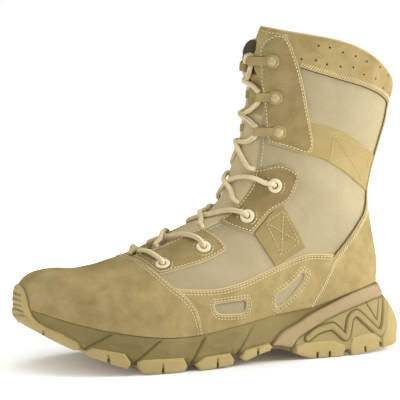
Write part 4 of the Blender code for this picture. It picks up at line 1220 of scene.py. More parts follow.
@dataclass
class Stitching:
    """Rows of thread on the panels, all joined in one piece."""

    name: str = "stitching"
    finish: Finish = THREAD
    length: float = 2.1
    pitch: float = 2.7
    radius: float = 0.42
    flat: float = 1.0
    rows: list[tuple[Array, Array, Array, float]] = field(default_factory=list)

    def _even(self, place: Array, normal: Array, pitch: float) -> tuple[Array, Array]:
        """Points at an even pitch along a line.

        Args:
            place: Points of the line.
            normal: Normals along it.
            pitch: The pitch.

        Returns:
            Places and unit normals.
        """
        arc = np.concatenate([[0.0], np.cumsum(np.linalg.norm(np.diff(place, axis=0), axis=1))])
        count = max(int(round(arc[-1] / pitch)), 1)
        at = (np.arange(count) + 0.5) * arc[-1] / count
        made = [np.stack([np.interp(at, arc, data[:, k]) for k in range(3)], axis=-1)
                for data in (place, normal)]
        return made[0], unit(made[1])

    def along(self, place: Array, normal: Array, length: float | None = None,
              pitch: float | None = None) -> None:
        """Adds a plain row along a line of the surface.

        Args:
            place: Points of the line.
            normal: Normals along it.
            length: Length of a stitch, if not the usual one.
            pitch: Pitch of the stitches, if not the usual one.
        """
        pitch = pitch or self.pitch
        arc = np.linalg.norm(np.diff(place, axis=0), axis=1).sum()
        if arc < pitch:
            return
        middle, out = self._even(place, normal, pitch)
        if len(middle) < 2:
            return
        self.rows.append((middle, unit(np.gradient(middle, axis=0)), out, length or self.length))

    def ladder(self, place: Array, normal: Array, reach: float, pitch: float) -> None:
        """Adds a row of slanting bars across a line of the surface.

        Args:
            place: Points of the line.
            normal: Normals along it.
            reach: The half width.
            pitch: Pitch of the bars.
        """
        middle, out = self._even(place, normal, pitch)
        if len(middle) < 3:
            return
        run = unit(np.gradient(middle, axis=0))
        across = unit(np.cross(out, run))
        self.rows.append((middle, unit(across + 0.5 * run), out, 2.0 * reach))

    def _grain(self) -> tuple[Array, Array]:
        """One stitch of unit size, modelled as a stretched ball with blunt ends.

        Returns:
            Its points and triangles.
        """
        bpy.ops.object.select_all(action="DESELECT")
        bpy.ops.mesh.primitive_uv_sphere_add(segments=6, ring_count=4, radius=1.0,
                                             rotation=(0.0, math.pi / 2, 0.0))
        ball = bpy.context.object
        bpy.ops.object.transform_apply(rotation=True)
        bpy.ops.object.mode_set(mode="EDIT")
        bpy.ops.mesh.select_all(action="SELECT")
        bpy.ops.mesh.quads_convert_to_tris()
        bpy.ops.object.mode_set(mode="OBJECT")
        points = np.array([vertex.co for vertex in ball.data.vertices])
        faces = np.array([face.vertices for face in ball.data.polygons])
        bpy.data.objects.remove(ball, do_unlink=True)
        return points, faces

    def build(self) -> bpy.types.Object:
        """Makes the joined piece.

        Returns:
            The new object.
        """
        grain, faces = self._grain()
        points, corners, count = [], [], 0
        for middle, run, out, length in self.rows:
            out = unit(out - run * (out * run).sum(-1, keepdims=True))
            across = np.cross(out, run)
            made = middle[:, None] + 0.5 * length * grain[None, :, :1] * run[:, None]
            made = made + self.radius * (grain[None, :, 1:2] * across[:, None]
                                         + self.flat * grain[None, :, 2:] * out[:, None])
            made = made + 0.3 * self.flat * self.radius * out[:, None]
            points.append(made.reshape(-1, 3))
            steps = count + len(grain) * np.arange(len(middle))
            corners.append((faces[None] + steps[:, None, None]).reshape(-1, 3))
            count += made.shape[0] * made.shape[1]
        return make_piece(self.name, np.concatenate(points), np.concatenate(corners), self.finish,
                          sharp_deg=180.0)


@dataclass
class Row:
    """A row of stitches along a panel's edge.

    gap is the distance from the edge, and ladder the half width of slanting bars, or 0 for plain stitches.
    hidden_by are the panels over it, only is an outline that it keeps to, and into is a thread of its own.
    """

    gap: float
    ladder: float = 0.0
    hidden_by: tuple[Outline, ...] = ()
    only: Outline | None = None
    into: Stitching | None = None


def kept_runs(keep: Array) -> list[Array]:
    """The runs of numbers where a mask holds, each at least three long."""
    runs = np.split(np.arange(len(keep)), np.flatnonzero(np.diff(keep.astype(int))) + 1)
    return [run for run in runs if len(run) > 2 and keep[run[0]]]


@dataclass
class Panel:
    """A sewn piece of the upper inside an outline of the side view.

    grow widens the outline, roll is the width of the rounded edge, and crown and crown_width pad it.
    round_throat and round_rim also round it off along the lacing gap and the rim. under is how far it
    sinks into the upper, and base lifts its face.
    """

    name: str
    outline: Outline
    finish: Finish
    thick: float = LEATHER
    grow: float = 0.0
    roll: float = 1.1
    crown: float = 0.0
    crown_width: float = 9.0
    holes: Sequence[Outline] = ()
    round_throat: bool = False
    round_rim: bool = False
    rows: Sequence[Row] = ()
    under: float = 0.7
    base: float = 0.0

    @staticmethod
    def _inside(skin: Skin, outline: Outline) -> Array:
        """Distance inside an outline of the side view, measured along the surface.

        Args:
            skin: The surface.
            outline: Corners of the outline.

        Returns:
            The distance at every point, negative outside.
        """
        distance, way = outline_distance(skin["flat"], smooth_outline(outline))
        grow = np.stack([-way[:, 0], np.zeros(len(way)), way[:, 1]], axis=-1)
        slope = grow - skin["normal"] * (skin["normal"] * grow).sum(-1, keepdims=True)
        return -distance / np.maximum(np.linalg.norm(slope, axis=-1), 0.3)

    def _edge(self, skin: Skin, eyelets: Array) -> Array:
        """Distance inside the panel's edge.

        Args:
            skin: The surface that the panel lies on.
            eyelets: Middles of the holes to leave for eyelets.

        Returns:
            The distance at every point of the surface, negative outside the panel.
        """
        edge = self._inside(skin, self.outline) + self.grow
        for hole in self.holes:
            edge = np.minimum(edge, -self._inside(skin, hole))
        if self.round_throat:
            edge = np.minimum(edge, skin["throat_gap"] + 0.5)
        if self.round_rim:
            edge = np.minimum(edge, skin["rim_gap"] + 0.02)
        if len(eyelets):
            gap = np.linalg.norm(skin["place"][:, None] - eyelets[None], axis=-1).min(axis=1)
            edge = np.minimum(edge, gap - 2.2)
        return edge

    def lift(self, edge: Array) -> Array:
        """Height of the panel's face over the upper."""
        crown = 1.0 - (1.0 - np.clip(edge / self.crown_width, 0.0, 1.0)) ** 2
        return self.base + self.thick * quarter(edge / self.roll) + self.crown * crown

    def skin(self, last: Last, sides: Sequence[Side], eyelets: dict[Side, Array]) -> Skin:
        """The panel's face, welded where its sides meet.

        Args:
            last: The form that it lies on.
            sides: The sides that it covers.
            eyelets: Middles of the holes to leave for eyelets, by side.

        Returns:
            The face, with its distances to the edge and its tops.
        """
        found = []
        for side in sides:
            half = last.halves[side]
            half = half.with_field("edge", self._edge(half, eyelets.get(side, np.zeros((0, 3)))))
            half = half.above("edge").split("edge", *(share * self.roll for share in (0.12, 0.4, 1.0)))
            found.append(half)
        whole = Skin.joined(found)
        top = whole["place"] + self.lift(whole["edge"])[:, None] * whole["normal"]
        return whole.with_field("top", top)

    def build(
        self,
        last: Last,
        sides: Sequence[Side],
        nodes: Sequence[str],
        stitching: Stitching,
        name: str,
        eyelets: dict[Side, Array] | None = None,
    ) -> Skin:
        """Makes the piece and sews its rows.

        Args:
            last: The form that it lies on.
            sides: The sides that it covers.
            nodes: The solids that it stands for.
            stitching: Where its stitches go.
            name: The piece's name.
            eyelets: Middles of the holes to leave for eyelets, by side.

        Returns:
            The panel's face.
        """
        skin = self.skin(last, sides, eyelets or {})
        bottom = skin["place"] - self.under * skin["normal"]
        points, faces = closed_shell(skin["top"], bottom, skin.faces)
        cut = np.tile(1.0 - ramp(skin["edge"], 0.3, 1.2), 2)
        piece = make_piece(name, points, faces, self.finish, nodes, np.tile(skin["cloth"], (2, 1)), cut)
        for row in self.rows:
            self._sew(skin, row, stitching)
        return skin

    def _sew(self, skin: Skin, row: Row, stitching: Stitching) -> None:
        """Sews one row at its distance from the edge.

        Args:
            skin: The panel's face.
            row: The row.
            stitching: Where its stitches go.
        """
        for line in skin.contour("edge", row.gap):
            flat = line["flat"]
            keep = np.ones(len(flat), bool)
            for cover in row.hidden_by:
                keep &= outline_distance(flat, smooth_outline(cover))[0] > 0.3
            if row.only is not None:
                keep &= outline_distance(flat, np.asarray(row.only, float))[0] < 0.0
            for part in kept_runs(keep):
                if row.ladder:
                    stitching.ladder(line["top"][part], line["normal"][part], row.ladder, 1.9)
                else:
                    (row.into or stitching).along(line["top"][part], line["normal"][part])


@dataclass
class Upper:
    """The canvas shell with its sewn panels, straps, padded collar and tongue."""

    last: Last
    stitching: Stitching
    lacing: "Lacing"
    piping: Stitching
    strap_thread: Stitching
    collar_pad: float = 1.1
    tongue_thick: float = 4.0
    suede_above: float = 178.0
    lined_above: float = 207.0

    def shell(self) -> None:
        """Makes the hollow canvas wall, lined inside, with holes for the eyelets."""
        halves = []
        for side in BOTH:
            half = self.last.halves[side]
            away = half["place"][:, None] - self.lacing.eyelets(side)[None]
            gap = np.linalg.norm(away, axis=-1).min(axis=1)
            halves.append(half.with_field("hole", gap - 2.1).above("hole"))
        skin = Skin.joined(halves)
        inside = skin["place"] - WALL * skin["normal"]
        points, faces = closed_shell(skin["place"], inside, skin.faces)
        shaded = self._canvas_shade(skin["flat"])
        marks = np.concatenate([shaded, np.zeros(len(shaded))])
        piece = make_piece("upper", points, faces, CANVAS, ("upper",), np.tile(skin["cloth"], (2, 1)), marks)
        piece.data.materials.append(LINING.material())
        count = len(piece.data.polygons)
        middle, facing = np.zeros(count * 3), np.zeros(count * 3)
        piece.data.polygons.foreach_get("center", middle)
        piece.data.polygons.foreach_get("normal", facing)
        out = SurfaceNormals(skin["place"] * MM, skin["normal"]).nearest_normals(middle.reshape(-1, 3))
        lined = (out * facing.reshape(-1, 3)).sum(-1) < -0.3
        piece.data.polygons.foreach_set("material_index", lined.astype(int))
        self._canvas_rows()

    @staticmethod
    def _canvas_shade(flat: Array) -> Array:
        """Painted shade on the canvas: slight towards the toe, deeper inside the windows' top and rear edges.

        Args:
            flat: Points of the side view.

        Returns:
            The marks, from -1 to 0.
        """
        shade = -0.13 * ramp(flat[:, 0], 105.0, 150.0)
        for window in WINDOWS:
            gap, way = outline_distance(flat, smooth_outline(window))
            above = np.clip(0.7 * way[:, 1] - way[:, 0], 0.0, 1.0)
            shade = shade - 0.8 * above * ramp(gap, -2.2, -0.3) * (1.0 - ramp(gap, 1.0, 2.5))
        return shade

    def _canvas_rows(self) -> None:
        """Sews the rows along the lacing gap that show between the panels."""
        outlines = (EYESTAY_LOW, EYESTAY_MID, EYESTAY_TOP, VAMP, COLLAR)
        covers = [smooth_outline(outline) for outline in outlines]
        for side in BOTH:
            half = self.last.halves[side]
            half = half.with_field("top", half["place"] + 0.1 * half["normal"])
            for line in half.contour("throat_gap", 3.2):
                keep = np.all([outline_distance(line["flat"], cover)[0] > 1.0 for cover in covers], axis=0)
                for part in kept_runs(keep & (line["row"] > 6.5)):
                    self.stitching.along(line["top"][part], line["normal"][part])

    def panels(self) -> None:
        """Makes the suede panels and the webbing straps."""
        holes = {side: self.lacing.eyelets(side) for side in BOTH}
        shaft = [(80, 74), (80, 200), (0, 200), (0, 74)]
        # The second row is painted shadow of the seam's gap, a dark row along the counter's edge up the shaft
        counter_rows = (Row(3.2, 1.9), Row(0.15, only=shaft, into=self.piping))
        for panel in (
            Panel("vamp", VAMP, SUEDE, 1.9, 1.0, rows=(Row(2.2), Row(4.3))),
            Panel("counter", COUNTER, SUEDE, 1.9, 0.6, rows=counter_rows),
        ):
            panel.build(self.last, BOTH, (panel.name,), self.stitching, panel.name)
        under = (VAMP, COUNTER)
        guard_rows = (Row(1.9, hidden_by=under), Row(3.7, hidden_by=under))
        guard = Panel("mudguard", MUDGUARD, SUEDE, 1.3, holes=WINDOWS, rows=guard_rows)
        low_rows = (Row(1.9, hidden_by=(VAMP,)),)
        low = Panel("eyestay_low", EYESTAY_LOW, EYESTAY, 1.4, round_throat=True, rows=low_rows)
        mid = Panel("eyestay_mid", EYESTAY_MID, SHADED_MID_SUEDE, 1.5, round_throat=True, rows=(Row(1.9),))
        top = Panel("eyestay_top", EYESTAY_TOP, EYESTAY, 2.0, round_throat=True, rows=(Row(1.9),), base=1.3)
        ankle = Panel("ankle_strap", ANKLE_STRAP, WEBBING, 1.1, roll=0.7)
        instep = Panel("instep_strap", INSTEP_STRAP, SHADED_INSTEP_WEBBING, 1.1, roll=0.7)
        for side in BOTH:
            for panel in (guard, low, mid, top, ankle, instep):
                name = f"{panel.name}_{side.name.lower()}"
                eyelets = holes if panel in (low, mid) else None
                skin = panel.build(self.last, (side,), (name,), self.stitching, name, eyelets)
                if panel is ankle:
                    self._box_rows(skin, (EYESTAY_TOP, COUNTER), ANKLE_BOX)
                if panel is instep:
                    self._box_rows(skin, (EYESTAY_MID, MUDGUARD), INSTEP_BOX)

    def _box_rows(self, skin: Skin, covers: Sequence[Outline], corners: Outline) -> None:
        """Sews a box with a cross on a strap.

        Args:
            skin: The strap's face.
            covers: The panels that lie over its ends.
            corners: The box's corners as (s, z): front top, front low, rear top, rear low.
        """
        flat = skin["flat"]
        a, b, c, d = corners
        hidden = np.min([outline_distance(flat, smooth_outline(cover))[0] for cover in covers], axis=0)
        skin = skin.with_field("hidden", hidden)
        for start, end in ((a, b), (c, d), (a, d), (b, c), (a, c), (b, d)):
            run = np.subtract(end, start).astype(float)
            length = np.linalg.norm(run)
            away = flat - np.array(start, float)
            beside = (away[:, 0] * run[1] - away[:, 1] * run[0]) / length
            crossed = skin.with_field("beside", beside).with_field("along", away @ run / length)
            for line in crossed.contour("beside", 0.0):
                within = (line["along"] > 0) & (line["along"] < length)
                keep = within & (line["edge"] > 1.2) & (line["hidden"] > 0)
                if keep.sum() > 3:
                    self.strap_thread.along(line["top"][keep], line["normal"][keep])

    def collar(self) -> None:
        """Makes the padded cuff, its inner pad and its pinholes."""
        lower = [(-30, 170), (-30, 188), (10, 187), (22, 192.5), (33, 198), (44, 202), (57, 206), (70, 210),
                 (91, 216), (112, 223), (112, 170)]
        cover = (EYESTAY_TOP,)
        # The second row is painted shadow of the seam's gap, a dark row under the collar's lower edge
        rows = (Row(2.6, 1.7, cover, lower), Row(0.15, 0.0, cover, lower, self.piping))
        shape = {"roll": 1.6, "round_throat": True, "round_rim": True}
        panel = Panel("collar", COLLAR, SUEDE, 1.2, crown=self.collar_pad, rows=rows, **shape)
        skin = panel.build(self.last, BOTH, ("collar",), self.stitching, "collar")
        for line in skin.contour("rim_gap", 4.2):
            for part in kept_runs((line["throat_gap"] > 2.0) & (line["throat_gap"] < 26.0)):
                self.stitching.along(line["top"][part], line["normal"][part])
        self._pinholes(skin)
        inner = InnerPad("collar_lining", COLLAR, LINING, 1.0, crown=1.6, **shape)
        inner.build(self.last, BOTH, (), self.stitching, "collar_lining")

    def _pinholes(self, skin: Skin) -> None:
        """Marks the two rows of air holes on the cuff.

        Args:
            skin: The cuff's face.
        """
        holes = Stitching("pinholes", HOLE, radius=0.75, flat=0.25)
        flat = skin["flat"]
        for side in BOTH:
            here = np.flatnonzero(skin["place"][:, 1] * side.value > 3.0)
            for spot in PINHOLES:
                near = here[np.linalg.norm(flat[here] - spot, axis=1).argmin()]
                out = skin["normal"][near]
                run = unit(np.cross(out, (0.0, 0.0, 1.0)))
                holes.rows.append((skin["top"][near][None], run[None], out[None], 1.6))
        holes.build()

    def tongue(self) -> None:
        """Makes the padded tongue behind the lacing gap, suede near its top and lined behind."""
        rows = np.concatenate([np.linspace(5.0, 21.3, 118), np.linspace(21.35, 22.3, 22)])
        across = np.linspace(0.0, 1.0, 22)
        reach = np.maximum(smooth(self.last.column("throat"), rows), 12.0) + 10.0
        full = ramp(rows, 5.7, 7.0)[:, None] * ramp(across, 0.30, 0.42)[None]
        lift = -(WALL + 1.7) + (WALL + 1.9) * full - (self.last.hollow(rows)[:, None] - 0.5) * full
        lift = lift + 4.6 * ramp(rows, 21.5, 21.8)[:, None] * full
        lift = np.concatenate([lift, lift[:, -2::-1]], axis=1)
        places, normals = [], []
        for side in BOTH:
            start = self.last.share_at(rows, reach, side)[:, None]
            share = start + (1.0 - start) * across[None]
            places.append(self.last.point(rows[:, None], share, side))
            normals.append(self.last.normal(rows[:, None], share, side))
        place, normal = (np.concatenate([lat, med[:, -2::-1]], axis=1) for lat, med in (places, normals))
        middle = place.shape[1] // 2
        normal[:, middle] = unit(normal[:, middle - 1] + normal[:, middle + 1])
        ends = quarter((rows[-1] - rows) / 0.55)[:, None]
        channels = np.cos(np.linspace(-1, 1, place.shape[1]) * math.pi * 3)
        puff = 0.35 * channels[None] * ramp(rows, 7, 9)[:, None]
        thick = self.tongue_thick * (0.35 + 0.65 * ends)
        outer = place + (lift + puff - self.tongue_thick * (1 - ends))[..., None] * normal
        points, faces = closed_grid(outer, outer - thick[..., None] * normal)
        run = np.linalg.norm(np.diff(place, axis=1), axis=2).mean(axis=0)
        beside = np.concatenate([[0], np.cumsum(run)])
        flat = np.stack(np.meshgrid(np.linspace(0, 190, len(rows)), beside, indexing="ij"), axis=-1)
        piece = make_piece("tongue", points, faces, LIT_TONGUE_CANVAS, ("tongue",), np.tile(flat.reshape(-1, 2), (2, 1)))
        piece.data.materials.append(SUEDE.material())
        piece.data.materials.append(LINING.material())
        behind = len(points) // 2
        for face in piece.data.polygons:
            lined = face.center.z > self.lined_above * MM or max(face.vertices) >= behind
            face.material_index = 2 if lined else 1 if face.center.z > self.suede_above * MM else 0

    def footbed(self) -> None:
        """Makes the insole with a rounded edge and a raised heel cup."""
        turns = np.linspace(0.0, LOOP, 160, endpoint=False)
        foot = self.last.foot_ring(turns)
        out = self.last.outward(self.last.foot_ring, turns)
        rings = []
        for inset, rise in ((5.5, 0.6), (4.6, 1.4), (4.6, 3.6), (5.2, 4.5), (7.5, 4.6)):
            plan = foot[:, :2] - inset * out
            rings.append(np.stack([ORIGIN_STATION - plan[:, 0], plan[:, 1], foot[:, 2] + rise], axis=-1))
        points, faces = capped_rings(rings)
        make_piece("insole", points, faces, FOOTBED, ("insole",))


class SurfaceNormals:
    """Normals of points on the upper, found by the nearest point."""

    def __init__(self, places: Array, normals: Array) -> None:
        """Keeps the points in a search tree.

        Args:
            places: The points.
            normals: The normal at each point.
        """
        self.normals = normals
        self.tree = KDTree(len(places))
        for index, place in enumerate(places):
            self.tree.insert(place, index)
        self.tree.balance()

    def nearest_normals(self, points: Array) -> Array:
        """The normal of the kept point nearest to each point."""
        return np.array([self.normals[self.tree.find(point)[1]] for point in points])


class InnerPad(Panel):
    """A panel on the inside of the upper."""

    def skin(self, last: Last, sides: Sequence[Side], eyelets: dict[Side, Array]) -> Skin:
        """The pad's face, turned to the inside of the boot.

        Args:
            last: The form that it lies in.
            sides: The sides that it covers.
            eyelets: Middles of the holes to leave for eyelets, by side.

        Returns:
            The face, with its own places, normals and tops.
        """
        skin = Panel.skin(self, last, sides, eyelets)
        top = skin["place"] - (WALL + self.lift(skin["edge"]))[:, None] * skin["normal"]
        place = skin["place"] - WALL * skin["normal"]
        fields = {**skin.fields, "top": top, "place": place, "normal": -skin["normal"]}
        return Skin(fields, skin.faces[:, ::-1])


def ring_faces(rings: int, count: int) -> list[tuple[int, ...]]:
    """Four-cornered faces between closed rings of points.

    Args:
        rings: Number of rings.
        count: Points in each ring.

    Returns:
        The faces.
    """
    faces = []
    for start in range(0, (rings - 1) * count, count):
        for i in range(count):
            a, b = start + i, start + (i + 1) % count
            faces.append((a, b, b + count, a + count))
    return faces


def cap_faces(first: int, count: int) -> list[tuple[int, ...]]:
    """Faces across a ring whose two halves mirror each other.

    Args:
        first: Number of the ring's first point.
        count: Points in the ring.

    Returns:
        The faces.
    """
    faces = []
    for i in range(count // 2):
        a, b = first + i, first + i + 1
        c, d = first + (count - i - 1) % count, first + (count - i) % count
        face = [a, b] + ([c] if c != b else []) + ([d] if d not in (a, c) else [])
        if len(face) > 2:
            faces.append(tuple(face))
    return faces


def capped_rings(rings: Sequence[Array]) -> tuple[Array, list]:
    """A closed piece from rings whose two halves mirror each other.

    Args:
        rings: The rings of points, from one end to the other.

    Returns:
        Points and faces.
    """
    count = len(rings[0])
    last = (len(rings) - 1) * count
    return np.concatenate(rings), ring_faces(len(rings), count) + cap_faces(0, count) + cap_faces(last, count)


class Gap(NamedTuple):
    """A gap between two lugs: its two edges, and how far the chamfer below each one runs."""

    toe: float
    heel: float
    toe_run: float
    heel_run: float


class Rise(NamedTuple):
    """Heights of the heel band's two edges at a station."""

    s: float
    low: float
    high: float


@dataclass
class Sole:
    """The lugged tread, foam layer, heel band and heel pods.

    creases are the stations of the feet and heads of the foam's creases, and hollows the dents between
    them, as a station and a share of the height. rises are the band's edges, and rib and pocket the lines
    raised and cut on each pod. lap is how far the tread's side covers the foam, and clip_top the height
    of the rubber behind the heel. The band and the pods start and end at band_row and pod_rows.
    """

    last: Last
    gaps: tuple[Gap, ...] = (
        Gap(269.9, 266.0, 3.0, 2.5), Gap(236.4, 231.3, 2.2, 3.2), Gap(193.7, 187.4, 3.4, 3.7),
        Gap(154.9, 151.4, 2.9, 4.6), Gap(63.3, 60.0, 3.3, 1.8), Gap(32.7, 30.8, 1.5, 1.0))
    slits: tuple[float, ...] = (289.6, 251.2, 213.0, 170.1, 136.6, 87.0, 77.0, 46.5)
    creases: tuple[tuple[float, float], ...] = (
        (267.0, 245.0), (233.5, 211.0), (190.0, 177.5), (153.0, 135.5))
    hollows: tuple[tuple[float, float], ...] = ((238.0, 0.56), (197.0, 0.62), (161.5, 0.64))
    rises: tuple[Rise, ...] = (
        Rise(0, 39.5, 48.5), Rise(23, 40.2, 49.3), Rise(33, 40.2, 49.6), Rise(45, 38.0, 48.0),
        Rise(56, 35.6, 45.6), Rise(66.6, 32.6, 42.4), Rise(75, 29.6, 39.2), Rise(89, 23.2, 33.8),
        Rise(95, 20.3, 30.8), Rise(102, 16.6, 26.9), Rise(105.5, 12.5, 25.4), Rise(108, 9.6, 24.4),
        Rise(112, 10.2, 22.8), Rise(117, 11.6, 20.2), Rise(123.5, 12.6, 13.6))
    rib: tuple[tuple[float, float], ...] = (
        (94.5, 15.4), (86.4, 20.2), (75.5, 22.6), (71.5, 20.8), (64.5, 14.6), (61.8, 15.6), (59.0, 27.0),
        (54.8, 30.4), (51.8, 30.0), (48.4, 27.2), (35.0, 15.4), (31.6, 14.6), (28.4, 18.4), (25.0, 27.6),
        (20.5, 38.5))
    pocket: tuple[tuple[float, float], ...] = ((44.4, 38.0), (34.3, 24.0), (29.5, 39.5))
    lap: float = 2.4
    clip_top: float = 42.0
    gap_depth: float = 4.5
    groove_y: float = 17.0
    groove_depth: float = 4.0
    arrow_pitch: float = 15.0
    toe_y: float = 6.0
    bumper_half: float = 16.5
    bumper_low: float = 46.5
    bumper_rise: float = 12.5
    bumper_pitch: float = 3.5
    band_row: float = 8.88
    pod_rows: tuple[float, float] = (9.5, 13.2)

    def _rows(self) -> Array:
        """Rows from toe to heel, closer together at the gaps and slits.

        Returns:
            The rows in order.
        """
        fine = np.linspace(0.0, HEEL_ROW, 6000)
        station = self.last.floor_ring(fine)[:, 0]
        spans = [np.arange(gap.heel - 10.0, gap.toe + 7.0, 0.5) for gap in self.gaps]
        spans += [np.arange(slit - 2.0, slit + 2.0, 0.3) for slit in self.slits]
        extra = [np.interp(at[::-1], station[::-1], fine[::-1]) for at in spans]
        rows = np.unique(np.round(np.concatenate([np.linspace(0.0, HEEL_ROW, 281), *extra]), 4))
        return rows[np.concatenate([[True], np.diff(rows) > 0.004])]

    @staticmethod
    def _turns(rows: Array) -> Array:
        """Turns around the whole sole from the rows of one side."""
        return np.concatenate([rows, LOOP - rows[-2:0:-1]])

    def _notch(self, s: Array) -> Array:
        """Share of a lug's height that is cut away from below, at the foot of a gap.

        Args:
            s: Stations along the sole.

        Returns:
            The share at each station.
        """
        notch = np.zeros_like(s)
        for gap in self.gaps:
            toe_side = (gap.toe + gap.toe_run - s) / gap.toe_run
            heel_side = (s - gap.heel + gap.heel_run) / gap.heel_run
            notch = np.maximum(notch, 0.42 * np.clip(np.minimum(toe_side, heel_side), 0.0, 1.0))
        return notch

    @staticmethod
    def _lug_distance(points: Array) -> Array:
        """Signed distance to the nearest lug.

        Args:
            points: Points of the sole's side.

        Returns:
            The distances, negative on a lug.
        """
        flat = np.stack([ORIGIN_STATION - points[..., 0], points[..., 2]], axis=-1).reshape(-1, 2)
        gaps = [outline_distance(flat, np.asarray(lug, float))[0] for lug in LUGS]
        return np.min(gaps, axis=0).reshape(points.shape[:-1])

    def _slit_mask(self, s: Array) -> Array:
        """How far a place is inside a slit.

        Args:
            s: Stations along the sole.

        Returns:
            Shares from 0 outside to 1 inside.
        """
        mask = np.zeros_like(s)
        for slit in self.slits:
            mask = np.maximum(mask, 1.0 - ramp(np.abs(s - slit), 0.45, 1.1))
        return mask

    def outsole(self) -> None:
        """Makes the tread with its lugs, gaps, slits and the clip behind the heel."""
        rows = self._rows()
        turns = self._turns(rows)
        ring = self.last.floor_ring(turns)
        near = np.minimum(turns, LOOP - turns)
        s, bottom, top = ring[:, 0], ring[:, 2], ring[:, 3] + self.lap
        top = top + (self.clip_top - top) * ramp(near, 11.7, 12.5)
        low = bottom + self._notch(s) * (ring[:, 3] - bottom)
        rings, marks = [], []
        for level in np.concatenate([[0.0, 0.03, 0.08, 0.14], np.linspace(0.2, 1.0, 24)]):
            height = low + level * (top - low)
            away = self._lug_distance(self.last.wall(turns, height, 0.0))
            slit = 0.8 * ramp(s, 100.0, 104.0) * (1.0 - ramp(level, 0.5, 0.68))
            slit = self._slit_mask(s) * (2.4 * (1.0 - ramp(level, 0.25, 0.32)) + slit)
            edge = np.minimum(-away, (height - low) * 1.1)
            out = -0.5 + 1.5 * quarter(edge / 1.7) - self.gap_depth * ramp(away, 0.0, 0.9) - slit * (away < 0)
            rear = np.clip((height - 6.0) / 35.0, 0.0, 1.0)
            out = out + ramp(near, 12.4, 13.4) * (2.2 * np.sin(math.pi * rear) - 6.0 * (1.0 - rear) ** 4)
            rings.append(self.last.wall(turns, height, out))
            # Painted shade in the slits and in the gaps between the lugs
            marks.append(-np.maximum(ramp(slit, 0.3, 1.2), 0.8 * ramp(away, 0.2, 1.0)))
        rings.append(self.last.wall(turns, np.maximum(top, low + 0.5), -8.0))
        grid = self._tread(rings[0], len(rows))
        count = len(turns)
        first = (len(rings) - 1) * count
        faces = ring_faces(len(rings), count) + cap_faces(first, count)
        faces += [face[::-1] for face in grid_faces(*grid.shape[:2], first + count)]
        points = np.concatenate([*rings, grid.reshape(-1, 3)])
        marks = np.concatenate([*marks, np.zeros(count + grid.shape[0] * grid.shape[1])])
        make_piece("outsole", points, faces, GUM, ("outsole",), cut=marks, sharp_deg=38.0)

    def _tread(self, rim: Array, half: int) -> Array:
        """The underside between the two rims, with its cross and long grooves.

        Args:
            rim: The lowest ring of the tread.
            half: Points of the ring from toe to heel.

        Returns:
            A grid of points from toe to heel and from side to side.
        """
        lateral = rim[:half]
        medial = rim[(len(rim) - np.arange(half)) % len(rim)]
        share = np.linspace(0.0, 1.0, 49)[None, :, None]
        grid = lateral[:, None] + share * (medial - lateral)[:, None]
        s, y = ORIGIN_STATION - grid[..., 0], grid[..., 1]
        edge = np.minimum(share[..., 0], 1.0 - share[..., 0])
        body = 1.0 - ramp(self._notch(s), 0.02, 0.2)
        body = body * ramp(edge, 0.0, 0.04) * ramp(s, 8.0, 26.0) * (1.0 - ramp(s, 275.0, 288.0))
        fore = ramp(s, 126.0, 132.0)
        grooves = 0.6 * self._slit_mask(s)
        for place in (-self.groove_y, self.groove_y):
            grooves = np.maximum(grooves, fore * (1.0 - ramp(np.abs(y - place), 1.6, 3.2)))
            grooves = np.maximum(grooves, (1.0 - fore) * (1.0 - ramp(np.abs(y - 0.7 * place), 1.6, 3.2)))
        arrow = np.abs(np.mod(s - 0.7 * np.abs(y), self.arrow_pitch) - 0.5 * self.arrow_pitch)
        grooves = np.maximum(grooves, (1.0 - ramp(arrow, 0.5, 1.4)) * 0.35)
        arch = ramp(s, 98.0, 106.0) * (1.0 - ramp(s, 128.0, 136.0))
        grid[..., 2] += self.groove_depth * body * grooves * (1.0 - arch)
        return grid

    def bumper(self) -> None:
        """Makes the rubber that wraps up over the toe, with short level ribs at its front."""
        across = np.linspace(-1.0, 1.0, 180)
        levels = []
        for k in np.linspace(0.04, 0.97, 22):
            turns = across * np.interp(k, (0.0, 0.3, 0.45, 0.55, 0.74, 1.0),
                                       (2.6, 2.5, 2.1, 1.59, 1.31, 1.22))
            foot, floor = self.last.foot_ring(turns), self.last.floor_ring(turns)
            height = floor[:, 2] + k * (foot[:, 2] - floor[:, 2])
            full = 2.4 * math.sin(math.pi * min(k, 0.9) / 0.9) * (1.0 - ramp(np.abs(across), 0.2, 0.6))
            levels.append(self.last.wall(turns, height, -1.6 + 0.9 * k + full))
        both = Skin.joined([self.last.halves[side] for side in BOTH])
        tree = BVHTree.FromPolygons(both["place"].tolist(), both.faces.tolist())
        for k in np.linspace(0.0, 1.0, 20)[1:]:
            half = self.bumper_half * math.sqrt(max(1.0 - k**2.6, 0.03))
            ring = []
            for y in self.toe_y - across * half:
                start = Vector((-300.0, y, self.bumper_low + self.bumper_rise * k))
                hit, normal, _, _ = tree.ray_cast(start, Vector((1.0, 0.0, 0.0)))
                out = normal if normal.x < 0 else -normal
                ring.append(np.array(hit + 1.7 * out))
            levels.append(np.array(ring))
        inner = np.stack(levels, axis=1)
        for _ in range(4):
            inner[:, 18:26] = (inner[:, 17:25] + inner[:, 18:26] + inner[:, 19:27]) / 3
        normal = unit(np.cross(np.gradient(inner, axis=1), np.gradient(inner, axis=0)))
        middle = np.array([ORIGIN_STATION - 265.0, 4.0, 45.0])
        normal = normal * np.sign((normal * (inner - middle)).sum(-1, keepdims=True))
        run = np.linalg.norm(np.diff(inner, axis=1), axis=2)
        arc = np.concatenate([np.zeros((len(across), 1)), np.cumsum(run, axis=1)], axis=1)
        side_run = np.linalg.norm(np.diff(inner, axis=0), axis=2)
        side_arc = np.concatenate([np.zeros((1, inner.shape[1])), np.cumsum(side_run, axis=0)], axis=0)
        edge = np.minimum(np.minimum(side_arc, side_arc[-1:] - side_arc), arc[:, -1:] - arc)
        roll = quarter(edge / 2.4)
        level = np.mod((inner[..., 2] - 38.0) / self.bumper_pitch, 1.0)
